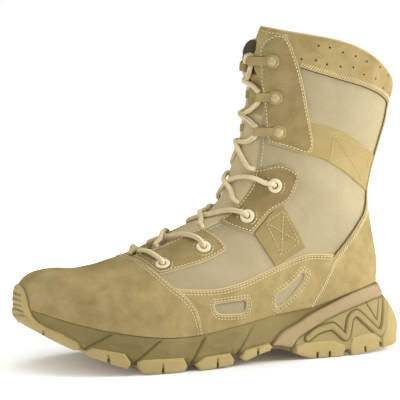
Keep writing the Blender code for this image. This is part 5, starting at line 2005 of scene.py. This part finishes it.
        ribs = (1.0 - ramp(np.abs(level - 0.5), 0.1, 0.24)) * (1.0 - ramp(np.abs(across), 0.5, 0.7))[:, None]
        ribs = ribs * ramp(inner[..., 2], 37.0, 38.5) * (1.0 - ramp(inner[..., 2], 55.0, 57.0))
        slit = bump(ORIGIN_STATION - inner[..., 0], self.slits[0], 0.8) * (1.0 - ramp(arc, 4.0, 6.0))
        # Painted shade in the level grooves, in the slit and as a thin line along the bumper's side and top
        # edges
        cut = np.maximum(0.6 * ribs, slit)
        outer = inner + (0.1 + 2.0 * roll - (0.8 * ribs + 1.6 * slit) * roll)[..., None] * normal
        line = 0.9 * (1.0 - ramp(edge, 0.2, 0.9)) * ramp(arc, 6.0, 9.0)
        marks = np.concatenate([-np.maximum(cut, line).ravel(), np.zeros(ribs.size)])
        make_piece("toe_bumper", *closed_grid(outer, inner - 0.3 * normal), GUM, cut=marks)

    def midsole(self) -> None:
        """Makes the foam layer with its slanting creases, drawn in behind the heel band."""
        turns = self._turns(np.linspace(0.0, HEEL_ROW, 420))
        near = np.minimum(turns, LOOP - turns)
        floor, foot = self.last.floor_ring(turns), self.last.foot_ring(turns)
        station, step = floor[:, 0], floor[:, 3]
        low = 0.58 * (step - floor[:, 2]) * (1.0 - ramp(near, 11.5, 12.5)) * ramp(near, 1.2, 2.0)
        low = step - low
        high = foot[:, 2] - 0.2 - 1.4 * ramp(near, 11.5, 13.0)
        rings, marks = [self.last.wall(turns, low, -9.0)], [np.zeros(len(turns))]
        for share in np.concatenate([[0.0, 0.04], np.linspace(0.1, 0.9, 26), [0.94, 0.97, 0.99, 1.0]]):
            height = low + share * (high - low)
            out = -0.7 - 1.2 * (1.0 - ramp(height, step - 3.0, step + 0.5))
            out = out + 0.3 * ramp(share, 0.8, 0.9) - 1.6 * (1.0 - quarter((1.0 - share) / 0.05))
            out = out + self._crease_relief(station, share) * (1.0 - ramp(near, 7.9, 8.6))
            rings.append(self.last.wall(turns, height, out - 2.6 * ramp(near, 8.7, 9.3)))
            # Painted shade low on the foam, where it goes behind the tread's top, and along the creases
            shadow = 0.9 * (1.0 - ramp(height, step - 4.5, step - 1.5))
            marks.append(-shadow - self._painted_crease_shade(station, share))
        rings.append(self.last.wall(turns, high - 0.3, -9.0))
        points, faces = capped_rings(rings)
        marks = np.concatenate([*marks, np.zeros(len(turns))])
        make_piece("midsole", points, faces, FOAM, ("midsole",), cut=marks, sharp_deg=60.0)

    def _painted_crease_shade(self, s: Array, share: float) -> Array:
        """Painted shade along the foam's slanting creases.

        Args:
            s: Stations along the sole.
            share: Share of the foam's height.

        Returns:
            The marks, from 0 to 1.
        """
        fade = 0.5 * ramp(share, 0.0, 0.12) * (1.0 - ramp(share, 0.8, 0.95))
        lines = [bump(s - (low + (high - low) * share**1.15), 0.6, 0.7) for low, high in self.creases]
        return fade * np.max(lines, axis=0)

    def _crease_relief(self, s: Array, share: float) -> Array:
        """A raised lip behind each slanting crease of the foam, and a groove along it.

        Args:
            s: Stations along the sole.
            share: Share of the foam's height.

        Returns:
            Distances that the side moves out.
        """
        relief = np.zeros_like(s)
        fade = ramp(share, 0.0, 0.12) * (1.0 - ramp(share, 0.86, 0.97))
        for low, high in self.creases:
            gap = s - (low + (high - low) * share**1.15)
            lip = np.exp(np.minimum(gap, 0.0) / 13.0) * (1.0 - ramp(gap, -0.6, 0.5))
            relief = relief + fade * (1.25 * lip - 0.75 * bump(gap, 0.4, 1.0))
            other = s - (low + 3.0 + 7.0 * share)
            relief = relief - 0.6 * bump(other, 0.0, 0.9) * (1.0 - ramp(share, 0.3, 0.55)) * fade
        for middle, height in self.hollows:
            reach = np.hypot((s - middle) / 11.0, (share - height) / 0.15 + 0.05 * (s - middle))
            relief = relief - 0.7 * (1.0 - ramp(reach, 0.55, 1.0)) + 0.35 * bump(reach, 1.1, 0.12)
        return relief

    def _band_edge(self, turns: Array, name: str) -> Array:
        """Height of an edge of the heel band.

        Args:
            turns: Places around the sole, from 0 to LOOP.
            name: The edge: low or high.

        Returns:
            The heights.
        """
        stations = [rise.s for rise in self.rises]
        station = 0.45 * self.last.floor_ring(turns)[..., 0] + 0.55 * self.last.foot_ring(turns)[..., 0]
        return np.interp(station, stations, [getattr(rise, name) for rise in self.rises])

    def heel_band(self) -> None:
        """Makes the smooth band from the arch round the heel."""
        turns = np.linspace(self.band_row, LOOP - self.band_row, 300)[:, None]
        low, high = self._band_edge(turns, "low"), self._band_edge(turns, "high")
        shares = np.concatenate([[0.0, 0.03, 0.08], np.linspace(0.15, 0.85, 8), [0.92, 0.97, 1.0]])
        round_in = 1.5 * (1.0 - quarter(np.minimum(shares, 1.0 - shares) / 0.14))
        swell = 0.5 * np.sin(math.pi * shares)
        outer = self.last.wall(turns, low + shares * (high - low), 1.1 + swell - round_in)
        inner = self.last.wall(turns, low + np.linspace(0.0, 1.0, len(shares)) * (high - low), -2.6)
        make_piece("heel_frame", *closed_grid(outer, inner), BAND, ("heel_frame",))

    def heel_pods(self) -> None:
        """Makes the cushions under the band, with a raised wave on each."""
        wave = smooth(self.rib, np.linspace(0, len(self.rib) - 1, 60))
        first, last = self.pod_rows
        for side in BOTH:
            turns = np.linspace(first, last, 230)[:, None]
            turns = turns if side is Side.LATERAL else LOOP - turns[::-1]
            near = np.minimum(turns, LOOP - turns)
            floor = self.last.floor_ring(turns)
            low = floor[..., 2] + 0.35 * (floor[..., 3] - floor[..., 2])
            band = self._band_edge(turns, "low")
            height = low + np.linspace(0.0, 1.0, 64) * (band + 0.6 - low)
            base = self.last.wall(turns, height, 0.3)
            flat = np.stack([ORIGIN_STATION - base[..., 0], base[..., 2]], axis=-1).reshape(-1, 2)
            gap = line_distance(flat, wave).reshape(height.shape)
            pocket = line_distance(flat, self.pocket).reshape(height.shape)
            relief = 1.3 * (1.0 - ramp(gap, 1.7, 2.4)) - 0.8 * bump(gap, 2.9, 0.5)
            relief = relief - 0.9 * bump(pocket, 0.0, 0.7)
            ends = quarter((near - first) / 0.1) * quarter((last - near) / 0.1)
            outer = self.last.wall(turns, height, -1.0 + (1.2 + relief) * ends)
            inner = self.last.wall(turns, height, -3.0)
            # Painted shade in the groove beside the wave, in the pocket and just under the band's edge
            lines = np.maximum(bump(gap, 2.8, 0.45), bump(pocket, 0.0, 0.5))
            lines = np.maximum(lines, bump(band - base[..., 2], 0.7, 0.8)) * ends
            marks = np.concatenate([-lines.ravel(), np.zeros(lines.size)])
            label = side.name.lower()
            nodes = (f"heel_pod_{label}", f"heel_rib_{label}")
            make_piece(nodes[0], *closed_grid(outer, inner), POD, nodes, cut=marks)

    def build(self) -> None:
        """Makes all the pieces of the sole."""
        self.outsole()
        self.bumper()
        self.midsole()
        self.heel_band()
        self.heel_pods()


@dataclass
class Lacing:
    """Eyelets, rivets, lace loops and the lace.

    Each of paths is a crossing of the lace, as shares of the way up to the next lacing point and places
    across the gap, from 1 at the edge where it starts to -1 at that lacing point.
    """

    last: Last
    eyelet_spots: tuple[tuple[float, float], ...] = (
        (205.4, 74.2), (173.6, 84.8), (137.8, 105.2), (116.6, 127.4))
    rivet_spots: tuple[tuple[float, float], ...] = ((114, 166), (115, 191), (117, 217))
    lace_radius: float = 1.9
    bar_row: float = 5.57
    loop_past: float = 1.6
    loop_radius: float = 3.0
    tab_lift: float = 3.35
    tab_thick: float = 1.2
    rivet_lift: float = 3.6
    rivet_radius: float = 3.5
    eyelet_radius: float = 3.75
    eyelet_rim: float = 1.5
    ring_radius: float = 7.1
    paths: tuple[tuple[tuple[float, float], ...], ...] = (
        ((0.16, 0.85), (0.3, 0.45), (0.43, 0.0), (0.5, -0.2), (0.65, -0.45), (0.8, -0.7), (0.93, -0.9)),
        ((0.12, 0.85), (0.19, 0.45), (0.25, 0.0), (0.33, -0.2), (0.55, -0.45), (0.75, -0.7), (0.92, -0.9)),
        ((0.05, 0.85), (0.18, 0.45), (0.31, 0.0), (0.42, -0.2), (0.6, -0.45), (0.8, -0.7), (0.94, -0.9)),
        ((0.05, 0.88), (0.28, 0.45), (0.54, 0.0), (0.58, -0.3), (0.66, -0.65), (0.85, -0.96)),
        ((0.12, 0.97), (0.24, 0.6), (0.37, 0.0), (0.57, -0.6), (0.84, -0.97)),
    )
    found: dict[tuple[float, float, Side], tuple[float, float]] = field(default_factory=dict)

    def spot(self, s: float, z: float, side: Side) -> tuple[float, float]:
        """A place in the side view, found once and kept.

        Args:
            s: Station in the side view.
            z: Height in the side view.
            side: The side of the boot.

        Returns:
            Its row and share.
        """
        key = (s, z, side)
        if key not in self.found:
            self.found[key] = self.last.locate(s, z, side)
        return self.found[key]

    def eyelets(self, side: Side) -> Array:
        """Middles of the eyelets on the upper's surface."""
        return np.array([self.last.point(*self.spot(s, z, side), side) for s, z in self.eyelet_spots])

    def frame_at(self, s: float, z: float, side: Side, lift: float) -> Matrix:
        """A matrix that places a model on the upper.

        Args:
            s: Station in the side view.
            z: Height in the side view.
            side: The side of the boot.
            lift: Height over the surface, in millimetres.

        Returns:
            The matrix in metres: local x level towards the toe, local z outward.
        """
        row, share = self.spot(s, z, side)
        normal = self.last.normal(row, share, side)
        place = self.last.point(row, share, side) + lift * normal
        out = Vector(normal)
        forward = Vector((-1.0, 0.0, 0.0))
        forward = (forward - out * forward.dot(out)).normalized()
        matrix = Matrix((forward, out.cross(forward), out)).transposed().to_4x4()
        matrix.translation = Vector(place * MM)
        return matrix

    def _place(self, model: bpy.types.Object, matrix: Matrix, name: str, finish: Finish) -> None:
        """Puts a copy of a model in its place, with its object at the origin.

        Args:
            model: The modelled piece.
            matrix: Its place, in metres.
            name: The copy's name, and the solid that it stands for.
            finish: The finish that covers it.
        """
        mesh = model.data.copy()
        mesh.name = name
        mesh.transform(matrix)
        mesh.update()
        mesh.shade_smooth()
        mesh.set_sharp_from_angle(angle=math.radians(40.0))
        mesh.materials.clear()
        mesh.materials.append(finish.material())
        obj = bpy.data.objects.new(name, mesh)
        bpy.context.scene.collection.objects.link(obj)
        dress(obj, (name,))

    def _eyelet_model(self) -> bpy.types.Object:
        """One eyelet: a flattened ring with a short barrel through the leather.

        Returns:
            The model, about the origin.
        """
        bpy.ops.object.select_all(action="DESELECT")
        size = {"major_radius": self.eyelet_radius * MM, "minor_radius": self.eyelet_rim * MM}
        bpy.ops.mesh.primitive_torus_add(major_segments=32, minor_segments=12, **size)
        ring = bpy.context.object
        bpy.ops.object.mode_set(mode="EDIT")
        bpy.ops.mesh.select_all(action="SELECT")
        bpy.ops.transform.resize(value=(1.0, 1.0, 0.45))
        bpy.ops.object.mode_set(mode="OBJECT")
        bore = 2.6 * MM
        for vertex in ring.data.vertices:
            reach = math.hypot(vertex.co.x, vertex.co.y)
            if reach < bore and vertex.co.z < 0.0:
                vertex.co.z -= 1.6 * MM * (bore - reach) / (0.55 * MM)
        return ring

    def _rivet_model(self) -> bpy.types.Object:
        """One rivet: a low dome with a rim.

        Returns:
            The model, about the origin.
        """
        bpy.ops.object.select_all(action="DESELECT")
        bpy.ops.mesh.primitive_uv_sphere_add(segments=28, ring_count=14, radius=self.rivet_radius * MM)
        dome = bpy.context.object
        bpy.ops.object.mode_set(mode="EDIT")
        bpy.ops.mesh.select_all(action="SELECT")
        plane = {"plane_co": (0.0, 0.0, 0.0), "plane_no": (0.0, 0.0, 1.0)}
        bpy.ops.mesh.bisect(**plane, use_fill=True, clear_inner=True)
        bpy.ops.mesh.select_all(action="SELECT")
        bpy.ops.transform.resize(value=(1.0, 1.0, 0.5))
        bpy.ops.object.mode_set(mode="OBJECT")
        edge = dome.modifiers.new("rim", "BEVEL")
        edge.width = 0.3 * MM
        edge.segments = 2
        edge.limit_method = "ANGLE"
        edge.angle_limit = math.radians(50.0)
        bpy.context.view_layer.objects.active = dome
        bpy.ops.object.modifier_apply(modifier="rim")
        return dome

    def hardware(self, stitching: Stitching) -> None:
        """Makes the eyelets, loops and rivets, with a ring of stitches round each eyelet.

        Args:
            stitching: Where the stitches go.
        """
        ring, dome = self._eyelet_model(), self._rivet_model()
        for side in BOTH:
            label = side.name.lower()
            for index, (s, z) in enumerate(self.eyelet_spots, 1):
                place = self.frame_at(s, z, side, LEATHER + 0.25)
                self._place(ring, place, f"eyelet_{label}_{index}", ENAMEL)
                self._stitch_ring(s, z, side, stitching)
            for index, (s, z) in enumerate(self.rivet_spots, 1):
                name = f"lace_loop_{label}_{index}"
                points, faces, flat = self._loop(s, z, side)
                make_piece(name, points, faces, SUEDE, (name,), flat)
                self._place(dome, self.frame_at(s, z, side, self.rivet_lift), f"rivet_{label}_{index}", RIVET)
        for model in (ring, dome):
            bpy.data.objects.remove(model, do_unlink=True)

    def _stitch_ring(self, s: float, z: float, side: Side, stitching: Stitching) -> None:
        """Sews a ring round an eyelet.

        Args:
            s: Station of the eyelet.
            z: Its height.
            side: The side of the boot.
            stitching: Where the stitches go.
        """
        matrix = np.array(self.frame_at(s, z, side, LEATHER))
        turn = np.linspace(0.0, 2 * math.pi, 33)
        radius = self.ring_radius
        droop = -radius**2 / 80.0
        local = np.stack([radius * np.cos(turn), radius * np.sin(turn), np.full(33, droop)], axis=-1) * MM
        place = (local @ matrix[:3, :3].T + matrix[:3, 3]) / MM
        stitching.along(place, np.tile(matrix[:3, 2], (33, 1)), 1.9, 2.5)

    def _edge_row(self, z: float) -> float:
        """The row where the edge of the lacing gap on the shaft has a height.

        Args:
            z: The height above the floor.

        Returns:
            The fractional row.
        """
        rows = np.linspace(HEEL_ROW, TOP_ROW, 400)
        share = self.last.share_at(rows, self.last.throat_half(rows), Side.LATERAL)
        edge = self.last.point(rows, share, Side.LATERAL)
        return float(rows[np.abs(edge[:, 2] - z).argmin()])

    def _loop(self, s: float, z: float, side: Side) -> tuple[Array, list, Array]:
        """A suede tab that is round at its rivet, follows the shaft and turns round the lace.

        Args:
            s: Station of the rivet.
            z: Its height.
            side: The side of the boot.

        Returns:
            Points, faces, and a flat place for each point.
        """
        row, share = self.spot(s, z, side)
        end_row = self._edge_row(z)
        end_share = float(self.last.share_at(end_row, self.last.throat_half(end_row), side))
        length = np.linalg.norm(self.last.point(end_row, end_share, side) - self.last.point(row, share, side))
        along = np.concatenate([np.linspace(-5.0, 4.8, 18), np.linspace(5.4, length, 8)])
        part = along / length
        rows, shares = row + part * (end_row - row), np.minimum(share + part * (end_share - share), 0.999)
        out = self.last.normal(rows, shares, side)
        middle = self.last.point(rows, shares, side) + self.tab_lift * out
        ahead = unit(middle[-1] - middle[-2])
        up = unit(out[-1] - ahead * (out[-1] @ ahead))
        turn = np.linspace(0.0, 3.6, 15)[:, None]
        radius = self.loop_radius
        curl = middle[-1] + ahead * (self.loop_past + radius * np.sin(turn))
        curl = curl - up * radius * (1.0 - np.cos(turn))
        middle = np.concatenate([middle, curl])
        out = np.concatenate([out, up * np.cos(turn) + ahead * np.sin(turn)])
        run = unit(np.gradient(middle, axis=0))
        beside = unit(np.cross(out, run))
        half = np.sqrt(np.maximum(5.1**2 - along**2, 0.2))
        half = np.concatenate([np.where(along > 0, np.maximum(half, 3.1), half), np.full(len(turn), 3.1)])
        across = np.linspace(-1.0, 1.0, 7)
        rounded = 0.3 * self.tab_thick * (1.0 - quarter((1.0 - np.abs(across)) / 0.35))
        spread = middle[:, None] + (half[:, None] * across)[..., None] * beside[:, None]
        outer = spread + (self.tab_thick - rounded)[None, :, None] * out[:, None]
        inner = spread + rounded[None, :, None] * out[:, None]
        points, faces = closed_grid(outer, inner)
        flat = np.stack(np.meshgrid(np.arange(len(middle)) * 1.0, across * 4.0, indexing="ij"), -1)
        return points, faces, np.tile(flat.reshape(-1, 2), (2, 1))

    def _lacing_point(self, index: int, side: Side) -> tuple[float, float]:
        """A lacing point: an eyelet or a loop.

        Args:
            index: Number of the lacing point from the bottom.
            side: The side of the boot.

        Returns:
            Its row and its distance from the middle line.
        """
        if index < len(self.eyelet_spots):
            row, share = self.spot(*self.eyelet_spots[index], side)
            return row, abs(float(self.last.point(row, share, side)[1]))
        row = self._edge_row(self.rivet_spots[index - len(self.eyelet_spots)][1])
        return row, float(self.last.throat_half(row)) - self.loop_past - 0.5

    def _dive(self, index: int, side: Side, into: bool) -> list[Array]:
        """Points where the lace passes through an eyelet.

        Args:
            index: Number of the eyelet from the bottom.
            side: The side of the boot.
            into: Whether it goes in from above, or comes back up from under the eyelet's edge.

        Returns:
            The points in order.
        """
        row, away = self._lacing_point(index, side)
        edge = float(self.last.throat_half(row))
        places = ((0.0, away - 1.2, 3.2), (0.0, away - 0.2, 1.4), (0.0, away, -0.8), (0.0, away - 0.5, -3.0))
        shift = 0.0
        if not into:
            shift = self.paths[index][0][0] * (self._lacing_point(index + 1, side)[0] - row)
            places = ((0.0, away - 1.5, -3.6), (0.4, 0.5 * (edge + away), -3.2), (0.8, edge + 0.5, -2.0),
                      (1.0, edge - 2.5, 1.0))
        return [self.last.front(row + part * shift, side.value * y, lift) for part, y, lift in places]

    def _crossing(self, index: int, side: Side, over: bool) -> list[Array]:
        """A strand from one edge of the gap to the next lacing point across it.

        Args:
            index: Number of the lacing point where it starts.
            side: The side where it starts.
            over: Whether it lies over the other strand.

        Returns:
            The points in order.
        """
        row_a, half = self._lacing_point(index, side)
        row_b, away_b = self._lacing_point(index + 1, side)
        if index < len(self.eyelet_spots):
            half = float(self.last.throat_half(row_a)) - 3.0
        points = []
        for part, reach in self.paths[min(index, len(self.paths) - 1)]:
            row = row_a + part * (row_b - row_a)
            y = reach * (half if reach > 0 else away_b)
            edge = float(self.last.throat_half(row))
            inside = 1.0 - float(ramp(abs(y), edge - 5.0, edge))
            rest = 2.5 + 1.2 * (1.0 - inside) - inside * float(self.last.hollow(row))
            hump = 2.8 * math.exp(-((reach / 0.25) ** 2)) if over else 0.0
            points.append(self.last.front(row, side.value * y, rest + hump))
        return points

    def _lace_route(self, side: Side, over_first: bool) -> list[Array]:
        """One run of the lace, from the bar at the bottom to the middle between the top loops.

        Args:
            side: The side of its first eyelet.
            over_first: Whether it lies on top at the first crossing.

        Returns:
            The points in order.
        """
        row, away = self._lacing_point(0, side)
        bar = self.bar_row
        places = ((0.0, 1.6), (0.25, 3.2), (0.5, 3.6), (0.75, 3.4))
        points = [self.last.front(bar + t * (row - bar), side.value * t * away, lift) for t, lift in places]
        points += self._dive(0, side, True)
        here, last_index = side, len(self.eyelet_spots) + len(self.rivet_spots) - 1
        for index in range(last_index):
            other = Side.MEDIAL if here is Side.LATERAL else Side.LATERAL
            if index < len(self.eyelet_spots):
                points += self._dive(index, here, False)
            points += self._crossing(index, here, (index % 2 == 0) == over_first)
            if index + 1 < len(self.eyelet_spots):
                points += self._dive(index + 1, other, True)
            else:
                row, half = self._lacing_point(index + 1, other)
                places = ((-0.25, half - 0.5, 0.9), (0.0, half + 0.3, 0.2), (0.25, half - 0.5, 0.9))
                points += [self.last.front(row + step, other.value * y, lift) for step, y, lift in places]
            here = other
        row, half = self._lacing_point(last_index, here)
        lift = 2.6 - float(self.last.hollow(row))
        for t in (0.2, 0.35, 0.5):
            rise = row + 0.18 + 0.06 * math.sin(math.pi * t)
            points.append(self.last.front(rise, here.value * half * (1.0 - 2.0 * t), lift))
        return points

    def keeper(self) -> None:
        """Makes the small suede tab that holds the lace at the bottom of the gap."""
        rows, across = np.linspace(5.34, 5.84, 17), np.linspace(-3.8, 3.8, 9)
        arch = smooth((1.9, 3.4, 3.9, 3.6, 2.0, -1.0), np.linspace(0.0, 5.0, len(rows)))
        grids = []
        for thick in (1.3, 0.0):
            lines = [[self.last.front(row, y, lift + thick) for y in across] for row, lift in zip(rows, arch)]
            grids.append(np.array(lines))
        make_piece("lace_keeper", *closed_grid(*grids), LIT_KEEPER_SUEDE)

    def lace(self) -> None:
        """Makes the lace as two runs that meet at the bottom bar."""
        points, faces, flat = [], [], []
        start = 0
        for side, over in ((Side.LATERAL, True), (Side.MEDIAL, False)):
            made, corners, cloth = tube(np.array(self._lace_route(side, over)), self.lace_radius)
            points.append(made)
            flat.append(cloth)
            faces += [tuple(corner + start for corner in face) for face in corners]
            start += len(made)
        nodes = ["lace_bar"] + [f"lace_cross_{k}" for k in range(1, 7)]
        make_piece("lace", np.concatenate(points), faces, LACE, nodes, np.concatenate(flat))


def tube(route: Array, radius: float, sides: int = 12, step: float = 0.9) -> tuple[Array, list, Array]:
    """A round cord along a smooth line through points.

    Args:
        route: Points that the cord's middle passes through, in millimetres.
        radius: The cord's radius.
        sides: Points round the cord.
        step: Distance between its rings.

    Returns:
        Points, faces, and a flat place for each point.
    """
    arc = np.concatenate([[0.0], np.cumsum(np.linalg.norm(np.diff(route, axis=0), axis=1))])
    count = max(int(arc[-1] / step), 8)
    middle = smooth(route, np.interp(np.linspace(0, arc[-1], count), arc, np.arange(len(route))))
    for _ in range(2):
        middle[1:-1] = (middle[:-2] + 2.0 * middle[1:-1] + middle[2:]) / 4.0
    run = unit(np.gradient(middle, axis=0))
    across = np.zeros_like(middle)
    guide = np.array([0.0, 1.0, 0.0])
    for k in range(count):
        guide = unit(guide - run[k] * (guide @ run[k]))
        across[k] = guide
    other = np.cross(run, across)
    turn = np.linspace(0.0, 2 * math.pi, sides, endpoint=False)
    ring = np.cos(turn)[None, :, None] * across[:, None] + np.sin(turn)[None, :, None] * other[:, None]
    points = (middle[:, None] + radius * ring).reshape(-1, 3)
    ends = [tuple(range(sides)), tuple(range(len(points) - sides, len(points)))]
    length = np.repeat(np.linspace(0, arc[-1], count), sides)
    flat = np.stack([length, np.tile(turn * radius, count)], axis=-1)
    return points, ring_faces(count, sides) + ends, flat


@dataclass(frozen=True)
class Lamp:
    """A soft studio light."""

    name: str
    place: tuple[float, float, float]
    size: float
    power: float
    aim: tuple[float, float, float] = (0.0, 0.0, 0.1)
    cone: float = 0.0


@dataclass
class Studio:
    """The pale floor, the lights and the camera at the photograph's angle."""

    lamps: tuple[Lamp, ...] = (
        Lamp("key", (1.75, -0.6, 1.0), 0.8, 34.0),
        Lamp("fill", (-1.4, -0.7, 1.3), 1.4, 8.5),
        Lamp("top", (-0.2, 0.0, 1.7), 1.4, 15.0),
        Lamp("ankle", (0.55, -0.85, 0.2), 0.1, 34.0, aim=(0.062, -0.04, 0.118), cone=13.0),
    )
    world: float = 0.2
    floor_glow: tuple[float, float] = (0.04, 0.8)
    lens: float = 177.84
    camera_place: tuple[float, float, float] = (-0.5485, -1.331, 0.2718)
    camera_pitch: float = 83.8
    camera_heading: float = -22.0

    def floor(self) -> None:
        """Makes the floor, which glows more and more away from the boot."""
        bpy.ops.object.select_all(action="DESELECT")
        bpy.ops.mesh.primitive_plane_add(size=12.0, location=(0.0, 0.0, -0.0002))
        obj = bpy.context.object
        obj.name = "floor"
        material = bpy.data.materials.new("pale_floor")
        material.use_nodes = True
        shade = Shade(material.node_tree)
        place = shade.add("ShaderNodeTexCoord").outputs["Object"]
        away = shade.add("ShaderNodeVectorMath", {0: place}, operation="LENGTH").outputs["Value"]
        least, most = self.floor_glow
        spread = {"Value": away, "From Min": 0.06, "From Max": 0.3, "To Min": least, "To Max": most}
        surface = {
            "Base Color": (0.92, 0.92, 0.92),
            "Roughness": 0.9,
            "Specular IOR Level": 0.1,
            "Emission Color": (1.0, 1.0, 1.0),
            "Emission Strength": shade.add("ShaderNodeMapRange", spread).outputs[0],
        }
        shader = material.node_tree.nodes["Principled BSDF"]
        for name, value in surface.items():
            shade.feed(shader.inputs[name], value)
        obj.data.materials.append(material)

    def lights(self) -> None:
        """Makes the lamps and the surrounding light."""
        for lamp in self.lamps:
            data = bpy.data.lights.new(lamp.name, "SPOT" if lamp.cone else "AREA")
            data.energy = lamp.power
            if lamp.cone:
                data.shadow_soft_size = lamp.size
                data.spot_size = math.radians(lamp.cone)
                data.spot_blend = 1.0
            else:
                data.size = lamp.size
            obj = bpy.data.objects.new(lamp.name, data)
            obj.location = lamp.place
            obj.rotation_euler = (Vector(lamp.aim) - Vector(lamp.place)).to_track_quat("-Z", "Y").to_euler()
            bpy.context.scene.collection.objects.link(obj)
        world = bpy.context.scene.world or bpy.data.worlds.new("studio")
        bpy.context.scene.world = world
        world.use_nodes = True
        sky = world.node_tree.nodes["Background"]
        sky.inputs["Color"].default_value = (1.0, 1.0, 1.0, 1.0)
        shade = Shade(world.node_tree)
        seen = shade.add("ShaderNodeLightPath").outputs["Is Camera Ray"]
        backdrop = shade.add("ShaderNodeMapRange", {"Value": seen, "To Min": self.world, "To Max": 1.0})
        world.node_tree.links.new(backdrop.outputs[0], sky.inputs["Strength"])

    def camera(self) -> None:
        """Makes the camera."""
        data = bpy.data.cameras.new("camera")
        data.lens = self.lens
        data.sensor_width = 36.0
        obj = bpy.data.objects.new("camera", data)
        obj.location = self.camera_place
        obj.rotation_euler = (math.radians(self.camera_pitch), 0.0, math.radians(self.camera_heading))
        bpy.context.scene.collection.objects.link(obj)
        bpy.context.scene.camera = obj
        bpy.context.scene.view_settings.view_transform = "Standard"

    def build(self) -> None:
        """Makes the whole studio."""
        self.floor()
        self.lights()
        self.camera()


CREASES = (
    Crease(((246, 44), (240, 58), (236, 72)), 0.5, 4.0),
    Crease(((228, 42), (224, 58), (221, 74)), 0.4, 4.0),
    Crease(((128, 84), (108, 98), (86, 118)), 0.5, 5.0),
    Crease(((96, 146), (70, 128), (46, 118)), 0.4, 6.0),
)


def main() -> None:
    """Builds the studio, then the boot's pieces in order."""
    logging.basicConfig(level=logging.INFO, format="%(name)s %(message)s")
    Studio().build()
    last = Last()
    last.build(CREASES)
    stitching, piping = Stitching(), Stitching("piping", SEAM_SHADOW, 2.4, 1.0, 0.5)
    strap_thread = Stitching("strap_stitching", TAN_THREAD)
    lacing = Lacing(last)
    upper = Upper(last, stitching, lacing, piping, strap_thread)
    upper.shell()
    upper.panels()
    upper.collar()
    upper.tongue()
    upper.footbed()
    Sole(last).build()
    lacing.hardware(stitching)
    lacing.lace()
    lacing.keeper()
    for thread in (stitching, strap_thread, piping):
        thread.build()


if __name__ == "__main__":
    main()
